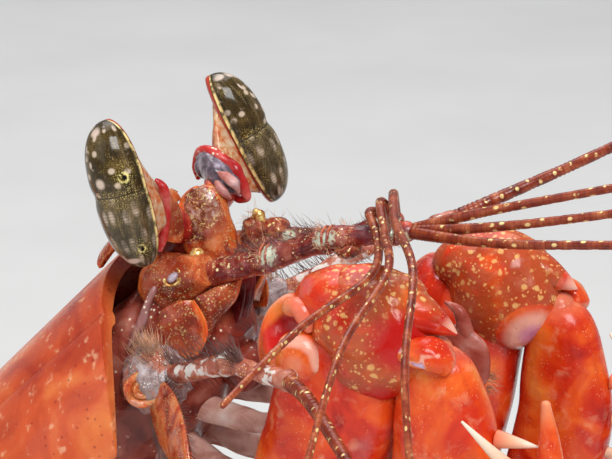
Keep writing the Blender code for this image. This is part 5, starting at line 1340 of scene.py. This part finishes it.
def make_legs(looks):
    for number, (ring, reach, out) in enumerate(LEGS, 1):
        start, end = SPANS[ring]
        for side, sign in SIDES:
            root = body_point((start + end) / 2, sign * 8.0, -1.6)
            foot = np.array((sign * out, root[1] + reach, 0.45))
            hip = root + np.array((sign * 2.4, 0.15 * reach, -3.2))
            knee = np.array((sign * mix(8, out, 0.62), root[1] + 0.45 * reach, root[2] * 0.62))
            ankle = np.array((sign * mix(8, out, 0.92), root[1] + 0.85 * reach, root[2] * 0.24))
            back = np.array((0, 1.0, 0))
            stations = ((root, 1.9, 1.9), (hip, 1.6, 1.6), (knee, 1.15, 1.2), (ankle, 0.85, 0.9), (foot, 0.5, 0.5))
            shape = Shape()
            shape.add(crinkle(limb(stations, 32, 14, wide=back), 1.5, 0.14, number))
            spur_root = mix(hip, knee, 0.35)
            spur_tip = spur_root + np.array((sign * 1.0, 0.5 * reach + 2.2, -0.52 * spur_root[2]))
            shape.add(limb([(spur_root, 0.9, 0.9), (mix(spur_root, spur_tip, 0.5) + np.array((sign * 1.2, 0, 0)), 0.75, 0.6),
                            (spur_tip, 0.3, 0.25)], 20, 12, wide=back))
            shape.make("leg_%d_%s" % (number, side), [looks["leg"]], "walking_leg", ["walking_leg_%d_%s" % (number, side)])


def swim_knee(number, sign):
    """The root, the knee and the fall of one swimming leg."""
    start, end = SPANS["abdomen_%d" % number]
    s = mix(start, end, 0.42)
    root = body_point(s, sign * 6.6, -2.6)
    fall = min(body_point(s, 0, -4.9)[2] * 0.72, 7.5)
    return root, root + np.array((sign * 0.6, 1.2, -2.6 - 0.25 * fall)), fall


def swim_leaves(number, sign):
    """The root, tip and half width of each of a swimming leg's two leaves."""
    _, knee, fall = swim_knee(number, sign)
    leaves = []
    for out, half, length in ((2.7, 3.4, 11.0), (-2.5, 2.8, 9.6)):
        base = knee + np.array((sign * out * 0.4, -0.6, 0.3))
        tip = base + np.array((sign * out * 0.75, math.sqrt(length * length - fall * fall), -fall))
        tip[2] = max(tip[2], 0.9)
        leaves.append((base, tip, half))
    return leaves


def make_pleopods(looks):
    for number in range(1, 6):
        for side, sign in SIDES:
            root, knee, _ = swim_knee(number, sign)
            shape = Shape()
            shape.add(limb([(root, 2.3, 1.4), (knee, 2.0, 1.2)], 28, 10))
            for base, tip, half in swim_leaves(number, sign):
                shape.add(leaf(base, tip, LEFT, half, 0.9, 30, 17, 0.55), 1)
            shape.make("swim_leg_%d_%s" % (number, side), [looks["pale"], looks["fan"]], "pale_limb",
                       ["pleopod_%d_%s" % (number, side)])


def make_tail(looks):
    rings = []
    for t, half, top, bottom in curve_through(((0, 11.4, 3.3, 1.8), (0.1, 12.2, 3.4, 1.7), (0.3, 12.9, 3.1, 1.5),
                                               (0.5, 12.6, 2.7, 1.3), (0.7, 11.3, 2.2, 1.1), (0.87, 9.2, 1.6, 0.9),
                                               (1.0, 7.0, 1.0, 0.7)), 8):
        centre, _, up = body_frame(mix(TELSON_START + 0.15, BODY_LENGTH - 2.2, t))
        rings.append(oval_ring(centre, LEFT, up, half, top, bottom, 96, 0.8))
    shape = Shape()
    rings = crinkle(domed(rings, (False, True), 0.5), 3.0, 0.2, 4.0)
    rings[:, :, 2] = np.maximum(rings[:, :, 2], 0.02)
    shape.add(rings)
    for _, sign in SIDES:
        for t, out, length, swing in ((0.50, 12.2, 2.4, 0.9), (0.76, 10.4, 2.6, 0.7), (0.97, 6.4, 2.8, 0.35)):
            s = mix(TELSON_START, BODY_LENGTH - 2.2, t)
            root = body_point(s - 1.2, sign * (out - 0.6), 0.1)
            tip = body_point(s + length, sign * (out + swing), 0.0)
            root[2], tip[2] = max(root[2], 0.9), max(tip[2], 0.3)
            shape.add(limb([(root, 0.95, 0.9), (mix(root, tip, 0.6), 0.5, 0.45), (tip, 0.08, 0.08)], 20, 6, bulge=0.3), 1)
    boss = ball(body_point(TELSON_START + 7.5, 0, 2.0), (LEFT, body_frame(TELSON_START + 7)[1], body_frame(TELSON_START + 7)[2]),
                (2.0, 6.5, 1.9), 40, 30)
    boss[:, :, 2] = np.maximum(boss[:, :, 2], 0.1)
    shape.add(boss)
    shape.make("tail_plate", [looks["shield"], looks["tooth"]], "shell", ["telson"])
    for side, sign in SIDES:
        fan = Shape()
        root = body_point(TELSON_START - 3.0, sign * 11.6, -1.4)
        knuckle = floor_point(TELSON_START + 5.0, sign * 17.0, 2.9)
        bow = mix(root, knuckle, 0.55) + np.array((sign * 0.9, 0, 0))
        fan.add(crinkle(limb([(root, 2.0, 1.7), (bow, 2.1, 1.8), (knuckle, 1.9, 1.6)], 40, 12), 2.0, 0.2, 1.0))
        out_base = floor_point(TELSON_START + 4.6, sign * 18.0, 2.7)
        out_tip = floor_point(TELSON_START + 23.5, sign * 27.5, 0.7)
        slant = unit(out_tip - out_base)
        across = unit(np.cross(slant, (0, 0, 1)))
        across = -across if across[0] * sign < 0 else across
        fan.add(leaf(out_base, out_tip, across, 3.3, 1.5, 40, 21, 0.55), 1)
        for k in range(7):
            edge = mix(out_base, out_tip, mix(0.22, 0.60, k / 6)) + across * 2.4
            tip = edge + across * 1.5 + slant * mix(1.2, 2.2, k / 6)
            fan.add(limb([(edge, 0.5, 0.5), (mix(edge, tip, 0.6), 0.3, 0.3), (tip, 0.06, 0.06)], 16, 5, bulge=0.3), 2)
        in_base = floor_point(TELSON_START + 4.8, sign * 15.9, 2.6)
        in_tip = floor_point(TELSON_START + 20.0, sign * 17.2, 0.7)
        fan.add(leaf(in_base, in_tip, LEFT, 2.3, 1.4, 40, 17), 1)
        prong = floor_point(TELSON_START + 4.0, sign * 16.9, 1.9)
        prong_tip = floor_point(TELSON_START + 14.5, sign * 20.0, 0.9)
        fan.add(limb([(prong, 1.1, 1.1), (mix(prong, prong_tip, 0.5), 0.8, 0.8), (prong_tip, 0.1, 0.1)], 24, 8, bulge=0.3), 2)
        fan.make("tail_fan_" + side, [looks["shield"], looks["fan"], looks["tooth"]], "shell", ["uropod_" + side])


# Floor, light and camera

CAMERA_AZIMUTH = math.radians(-65)
CAMERA_ELEVATION = math.radians(18)
CAMERA_PLACE = np.array((-104.47722834, -58.83578578, 44.69077603))
CAMERA_LENS = 103.676


def make_stage():
    mesh = bpy.data.meshes.new("floor")
    reach = 3.0
    mesh.from_pydata([(-reach, -reach, 0), (reach, -reach, 0), (reach, reach, 0), (-reach, reach, 0)], [], [(0, 1, 2, 3)])
    floor = bpy.data.objects.new("floor", mesh)
    bpy.context.scene.collection.objects.link(floor)
    f = Finish("pale_floor", {"Roughness": 0.7})
    f.done(f.ramp(f.noise(40.0, 3), (0.3, (0.62, 0.62, 0.61)), (0.7, (0.66, 0.66, 0.65))))
    mesh.materials.append(f.material)


def make_light(name, way, distance, size, power, target):
    """A soft square light, placed the given way from its target and turned to it."""
    data = bpy.data.lights.new(name, "AREA")
    data.size = size
    data.energy = power
    light = bpy.data.objects.new(name, data)
    light.location = Vector(target) + Vector(way).normalized() * distance
    light.rotation_euler = Vector(way).to_track_quat("Z", "Y").to_euler()
    bpy.context.scene.collection.objects.link(light)


def make_camera():
    data = bpy.data.cameras.new("camera")
    data.sensor_width = 36.0
    data.lens = CAMERA_LENS
    data.clip_start = 0.005
    camera = bpy.data.objects.new("camera", data)
    place = (head_point((0, 0, 0)) + CAMERA_PLACE) * MM + SHIFT
    camera.location = place
    back = Vector((math.sin(CAMERA_AZIMUTH) * math.cos(CAMERA_ELEVATION),
                   -math.cos(CAMERA_AZIMUTH) * math.cos(CAMERA_ELEVATION), math.sin(CAMERA_ELEVATION)))
    camera.rotation_euler = back.to_track_quat("Z", "Y").to_euler()
    bpy.context.scene.collection.objects.link(camera)
    bpy.context.scene.camera = camera


def make_lights():
    head = head_point((8, 0, 0)) * MM + SHIFT
    make_light("key", (-0.9, -0.9, 1.5), 0.45, 0.22, 1.8, head)
    make_light("fill", (-1.2, 0.6, 0.7), 0.6, 0.5, 0.7, head)
    make_light("top", (0.3, 0.4, 1.6), 0.7, 0.5, 1.6, head)
    make_light("body_light", (0.8, 0.3, 1.4), 0.9, 0.7, 3.0, (0.0, 0.03, 0.03))
    bpy.context.scene.view_settings.view_transform = "Standard"
    world = bpy.data.worlds.new("studio")
    world.use_nodes = True
    world.node_tree.nodes["Background"].inputs[0].default_value = (0.95, 0.97, 1.0, 1.0)
    world.node_tree.nodes["Background"].inputs[1].default_value = 0.30
    bpy.context.scene.world = world


def patch(left_edge, right_edge, thickness, bulge, out, rows=26, columns=22):
    """A thin curved sheet between two edges, swelling the way out."""
    a = curve_through(left_edge, 10)
    b = curve_through(right_edge, 10)
    t = np.linspace(0, 1, rows)
    a = np.array([np.interp(t, np.linspace(0, 1, len(a)), a[:, k]) for k in range(3)]).T
    b = np.array([np.interp(t, np.linspace(0, 1, len(b)), b[:, k]) for k in range(3)]).T
    u = np.linspace(0, 1, columns)
    grid = a[:, None, :] + (b - a)[:, None, :] * u[None, :, None]
    swell = np.sin(math.pi * u)[None, :, None] * np.sin(math.pi * np.clip(t * 0.9 + 0.05, 0, 1))[:, None, None]
    grid = grid + swell * bulge * out
    return blade_rings(grid, lambda p, q: thickness + 0 * p * q)


def head_line(places, sign=1.0):
    """Points from rows of forward, up and left, the last turned to the other side by sign."""
    return np.array([head_point((f, u, sign * left)) for f, u, left in places])


def tube(points, radius, sides=12, steps=8, taper=0.5):
    """A rounded rim along points, thinner at both ends."""
    count = len(points) - 1
    stations = []
    for k, p in enumerate(points):
        size = radius * (taper if k in (0, count) else 1.0)
        stations.append((p, size, size))
    return limb(stations, sides, steps, wide=np.array((0.3, 0.2, 1.0)))


def revolved(centre, axis, rows, seed, sides=56):
    """A cup turned round its axis from rows of distance along, half height and half width."""
    side = unit(np.cross(axis, LEFT))
    other = np.cross(axis, side)
    rings = [oval_ring(centre + axis * at, side, other, wide, high, high, sides)
             for at, wide, high in curve_through(rows, 5)]
    return crinkle(np.array(rings), 1.0, 0.16, seed)


def dent(rings, centre, radius, depth, way):
    """Presses a soft hollow into a surface round a centre."""
    far = np.linalg.norm(rings - centre, axis=2) / radius
    push = depth * np.clip(1 - far ** 2, 0, 1) ** 2
    return rings + push[:, :, None] * way


def near_line(rings, line, radius):
    """How near each point lies to a bent line: 1 on it, 0 from the radius on."""
    points = rings.reshape(-1, 3)
    best = np.full(len(points), np.inf)
    for a, b in zip(line[:-1], line[1:]):
        along = b - a
        t = np.clip((points - a) @ along / (along @ along), 0, 1)
        best = np.minimum(best, np.linalg.norm(points - a - t[:, None] * along, axis=1))
    return np.clip(1 - (best / radius) ** 2, 0, 1).reshape(rings.shape[:2])


def near_point(rings, centre, radius):
    return np.clip(1 - (np.linalg.norm(rings - centre, axis=2) / radius) ** 2, 0, 1)


def loop_tube(centre, axis, across, other, thick, seed, span=(0.0, 2.0)):
    """Part of a crinkled ring round a centre, across and other giving its two half widths."""
    angles = np.linspace(span[0] * math.pi, span[1] * math.pi, 33)
    line = [(centre + across * math.cos(a) + other * math.sin(a), thick, thick) for a in angles]
    return crinkle(limb(line, 12, 3, wide=axis), 0.7, thick * 0.35, seed)


def block_ring(row, count=64):
    """One level ring of the block between the eyes, squarish, from its up, forward and half sizes."""
    up, forward, half_left, half_forward = row
    centre = head_point((forward, up, 0))
    return oval_ring(centre, LEFT, head_direction((1, 0, 0)), half_left, half_forward, half_forward, count, 0.7)


def scale_lines(sign):
    """The root, the tip and the way across of the blade at a second feeler's foot."""
    return (head_point((-0.3, -3.2, sign * 8.2)), head_point((1.4, -9.7, sign * 13.5)),
            head_direction((0.9, 0.35, 0.14 * sign)))


def knob_finish():
    """The lumps on the first feelers, red-brown with gold on top."""
    f = Finish("feeler_knobs", fleshy(0.8, 0.5, 0.16, 0.9))
    wide = f.noise(0.8, 5, warp=0.8)
    colour = f.ramp(wide, (0.30, (0.09, 0.010, 0.006)), (0.47, (0.30, 0.05, 0.022)), (0.60, (0.50, 0.17, 0.08)),
                    (0.74, (0.60, 0.36, 0.24)))
    marks = f.calc("MAXIMUM", flecks(f, 0.42, 0.42, 1.2), flecks(f, 0.2, 0.46, 1.0))
    colour = f.mix(marks, colour, (0.90, 0.66, 0.26))
    return f.done(colour, f.step(marks, 0, 1, 0.22, 0.10), f.bump(wide, 0.12, 0.9), f.calc("MULTIPLY", marks, 0.6))


def fringe(hairs, base, tip, across, half_width, belly, count, length, radius, edges=(-1, 1)):
    """Bristles along the edges of a leaf with the same outline."""
    ahead = unit(tip - base)
    for edge in edges:
        for k in range(count):
            t = mix(0.12, 0.985, (k + hairs.random.random() * 0.8) / count)
            skew = t ** (math.log(0.5) / math.log(belly))
            half = half_width * max(math.sin(math.pi * (0.08 + 0.88 * skew)), 0.22)
            root = base + (tip - base) * t + across * (edge * half * 0.97)
            lean = mix(0.35, 2.4, t ** 3) + hairs.random.uniform(-0.12, 0.12)
            way = across * edge + ahead * lean + np.array((0, 0, hairs.random.uniform(-0.1, 0.1)))
            hairs.grow(root, way, length * hairs.random.uniform(0.75, 1.1), radius, ahead * 0.12,
                       (0.5 + 0.45 * edge * half / half_width, t))


def tufts(hairs, line, thick, count, length, radius, ways, spread=0.5, place=0.5):
    """Bristles off a limb's surface, each leaving it along a mix of the given ways."""
    line = curve_through(line, 10)
    for k in range(count):
        t = hairs.random.random()
        i = min(int(t * (len(line) - 1)), len(line) - 2)
        here = mix(line[i], line[i + 1], t * (len(line) - 1) - i)
        way = unit(mix(ways[0], ways[1], hairs.random.random())
                   + np.array([hairs.random.gauss(0, spread) for _ in range(3)]) * 0.5)
        along = unit(line[i + 1] - line[i])
        out = unit(way - along * way.dot(along))
        bend = np.array([hairs.random.gauss(0, 0.12) for _ in range(3)])
        hairs.grow(here + out * thick * 0.9, way, length * hairs.random.uniform(0.5, 1.1), radius, bend,
                   (place + 0.3 * (hairs.random.random() - 0.5), t))


def make_setae(looks):
    up, forward = head_direction((0, 1, 0)), head_direction((1, 0, 0))
    for side, sign in SIDES:
        outward = LEFT * sign
        joints = [head_point(p) for p in ANTENNULES[side]]
        pale, dark = Hairs(11 + int(sign)), Hairs(21 + int(sign))
        for near, far, slim in zip(joints, joints[1:], ANTENNULE_RADII):
            ahead = unit(far - near)
            ring = [far - ahead * 0.5, far - ahead * 0.1]
            tufts(pale, ring, slim, 16, 1.0, 0.022, (up + ahead * 0.3, up - ahead * 0.2 + outward), 0.9, 0.3)
            tufts(pale, ring, slim, 9, 0.8, 0.022, (-up + ahead * 0.2, -up + outward), 0.8, 0.7)
        tufts(dark, [mix(joints[0], joints[1], 0.75), mix(joints[1], joints[2], 0.8)], 0.8, 90, 2.1, 0.018,
              (up + forward * 0.1, up * 0.8 - forward * 0.9), 0.45, 0.4)
        for place, radii, _ in KNOBS[side]:
            spot = head_point(place)
            tufts(pale, [spot - forward * 0.2, spot + forward * 0.2], radii[0] * 0.9, 26, 1.2, 0.02,
                  (up - forward, -up + forward), 1.3, 0.6)
        roots = [head_point(p) for p in ANTENNAE[side]]
        trunk = [head_point((-1.2, -3.1, sign * 6.6)), roots[0], mix(roots[0], roots[1], 0.12)]
        tufts(pale, trunk, 1.9, 190, 2.3, 0.03, (up + forward * 0.4, up * 0.7 + outward * 0.6 + forward), 0.5, 0.45)
        tufts(pale, [mix(roots[0], roots[1], 0.02), mix(roots[0], roots[1], 0.2)], 0.95, 60, 1.7, 0.028,
              (up + forward, up - forward * 0.4), 0.6, 0.35)
        tufts(dark, [mix(roots[0], roots[1], 0.15), roots[1], mix(roots[1], roots[2], 0.3)], 0.7, 170, 2.0, 0.026,
              (up * 1.2 + forward * 0.3, up - forward * 0.3), 0.4, 0.55)
        tufts(dark, [roots[0], roots[1]], 0.75, 60, 1.1, 0.024, (-up, -up + forward * 0.5), 0.4, 0.7)
        base, tip, across = scale_lines(sign)
        fringe(dark, base, tip, across, 2.3, 0.5, 70, 1.5, 0.03)
        pale.make("pale_bristles_" + side, looks["bristle"], "feeler")
        dark.make("dark_bristles_" + side, looks["dark_bristle"], "feeler")
        combs = Hairs(41 + int(sign))
        for number, route in MAXILLIPEDS.items():
            places = [head_point((f, u, sign * out)) for f, u, out in route]
            ahead = unit(places[3] - places[2])
            deep = unit(np.cross(ahead, LEFT))
            if number == 1:
                tufts(combs, [places[2], places[3]], 0.5, 60, 1.4, 0.028, (deep, ahead + deep), 0.6)
                continue
            hand = places[3] + ahead * 1.6
            edge = [hand - deep * 2.2 + ahead * 1.2, hand - deep * 2.6, hand - deep * 2.0 - ahead * 2.0]
            tufts(combs, edge, 0.1, 70, 1.2, 0.028, (-deep, -deep + ahead), 0.3)
            tufts(combs, [places[1], places[2]], 1.0, 40, 1.5, 0.028, (-deep, deep), 0.7)
        combs.make("mouth_limb_bristles_" + side, looks["bristle"], "pale_limb")
        fan = Hairs(31 + int(sign))
        out_base = floor_point(TELSON_START + 4.6, sign * 18.0, 2.7)
        out_tip = floor_point(TELSON_START + 23.5, sign * 27.5, 0.7)
        slant = unit(out_tip - out_base)
        across = unit(np.cross(slant, (0, 0, 1)))
        across = -across if across[0] * sign < 0 else across
        fringe(fan, out_base, out_tip, across, 3.3, 0.55, 150, 2.2, 0.035)
        fringe(fan, floor_point(TELSON_START + 4.8, sign * 15.9, 2.6), floor_point(TELSON_START + 20.0, sign * 17.2, 0.7),
               LEFT, 2.3, 0.5, 120, 1.9, 0.035)
        fan.make("tail_fringe_" + side, looks["bristle"], "shell")
        swim = Hairs(61 + int(sign))
        for number in range(1, 6):
            for base, tip, half in swim_leaves(number, sign):
                fringe(swim, base, tip, LEFT, half, 0.55, 70, 1.6, 0.035)
        swim.make("swim_fringe_" + side, looks["bristle"], "pale_limb")


def all_looks():
    return {
        "cornea": cornea_finish(), "stalk": stalk_finish(), "face": face_finish(), "amber": face_finish(),
        "rim": rim_finish(), "knob": knob_finish(), "fold": limb_finish("eye_folds", (0.30, 0.04, 0.035), (0.46, 0.15, 0.12), (0.64, 0.46, 0.46)),
        "bristle": hair_finish("pale_bristles", (0.52, 0.28, 0.17)),
        "dark_bristle": hair_finish("dark_bristles", (0.10, 0.035, 0.028)),
        "maroon": limb_finish("maroon_plate", (0.06, 0.004, 0.006), (0.16, 0.012, 0.012), (0.26, 0.05, 0.04)),
        "collar": limb_finish("eye_collar", (0.32, 0.008, 0.010), (0.54, 0.03, 0.028), (0.74, 0.24, 0.20)),
        "lens": glass_finish(), "gold": gold_finish(), "feeler": feeler_finish(),
        "lash": whip_finish(110), "trunk": trunk_finish(),
        # Dark red-brown for the head's lower parts: painted shade.
        "deep": limb_finish("painted_shade_face", (0.07, 0.008, 0.006), (0.22, 0.026, 0.014), (0.40, 0.09, 0.045)),
        "dusky": limb_finish("dusky_plate", (0.16, 0.06, 0.06), (0.34, 0.15, 0.14), (0.50, 0.30, 0.34)),
        # Pale lilac for the hood's small bump: a painted highlight.
        "painted_highlight_bead": limb_finish("painted_highlight_lump", (0.20, 0.08, 0.07), (0.40, 0.31, 0.38), (0.70, 0.66, 0.74)),
        "rosy": limb_finish("rosy_rims", (0.80, 0.16, 0.06), (0.88, 0.32, 0.16), (0.90, 0.52, 0.38)),
        "hot": limb_finish("inner_red", (0.50, 0.004, 0.004), (0.74, 0.012, 0.006), (0.84, 0.05, 0.02)),
        "stem": stem_finish(),
        "claw": claw_finish("claw_shell"), "wrist": claw_finish("wrist_shell", True), "tooth": tooth_finish(),
        "shell": shell_finish("ring_shell"), "shield": shell_finish("shield_shell", False),
        "skin": limb_finish("soft_skin", (0.12, 0.014, 0.010), (0.27, 0.055, 0.035), (0.42, 0.17, 0.12)),
        "pale": limb_finish("mouth_limb_shell", (0.40, 0.16, 0.12), (0.62, 0.38, 0.32), (0.78, 0.66, 0.60)),
        "silver": limb_finish("mouth_limb_tips", (0.22, 0.02, 0.015), (0.42, 0.09, 0.06), (0.62, 0.34, 0.28)),
        "leg": limb_finish("leg_shell", (0.38, 0.06, 0.03), (0.62, 0.20, 0.10), (0.78, 0.46, 0.32)),
        "fan": limb_finish("fan_shell", (0.52, 0.10, 0.05), (0.76, 0.36, 0.20), (0.84, 0.62, 0.48)),
    }


LOOKS = all_looks()
make_stage()
make_camera()
make_lights()
make_eyes(LOOKS)
make_head(LOOKS)
make_antennules(LOOKS)
make_antennae(LOOKS)
make_claws(LOOKS)
make_maxillipeds(LOOKS)
make_body(LOOKS)
make_carapace(LOOKS)
make_front_body(LOOKS)
make_legs(LOOKS)
make_pleopods(LOOKS)
make_tail(LOOKS)
make_setae(LOOKS)
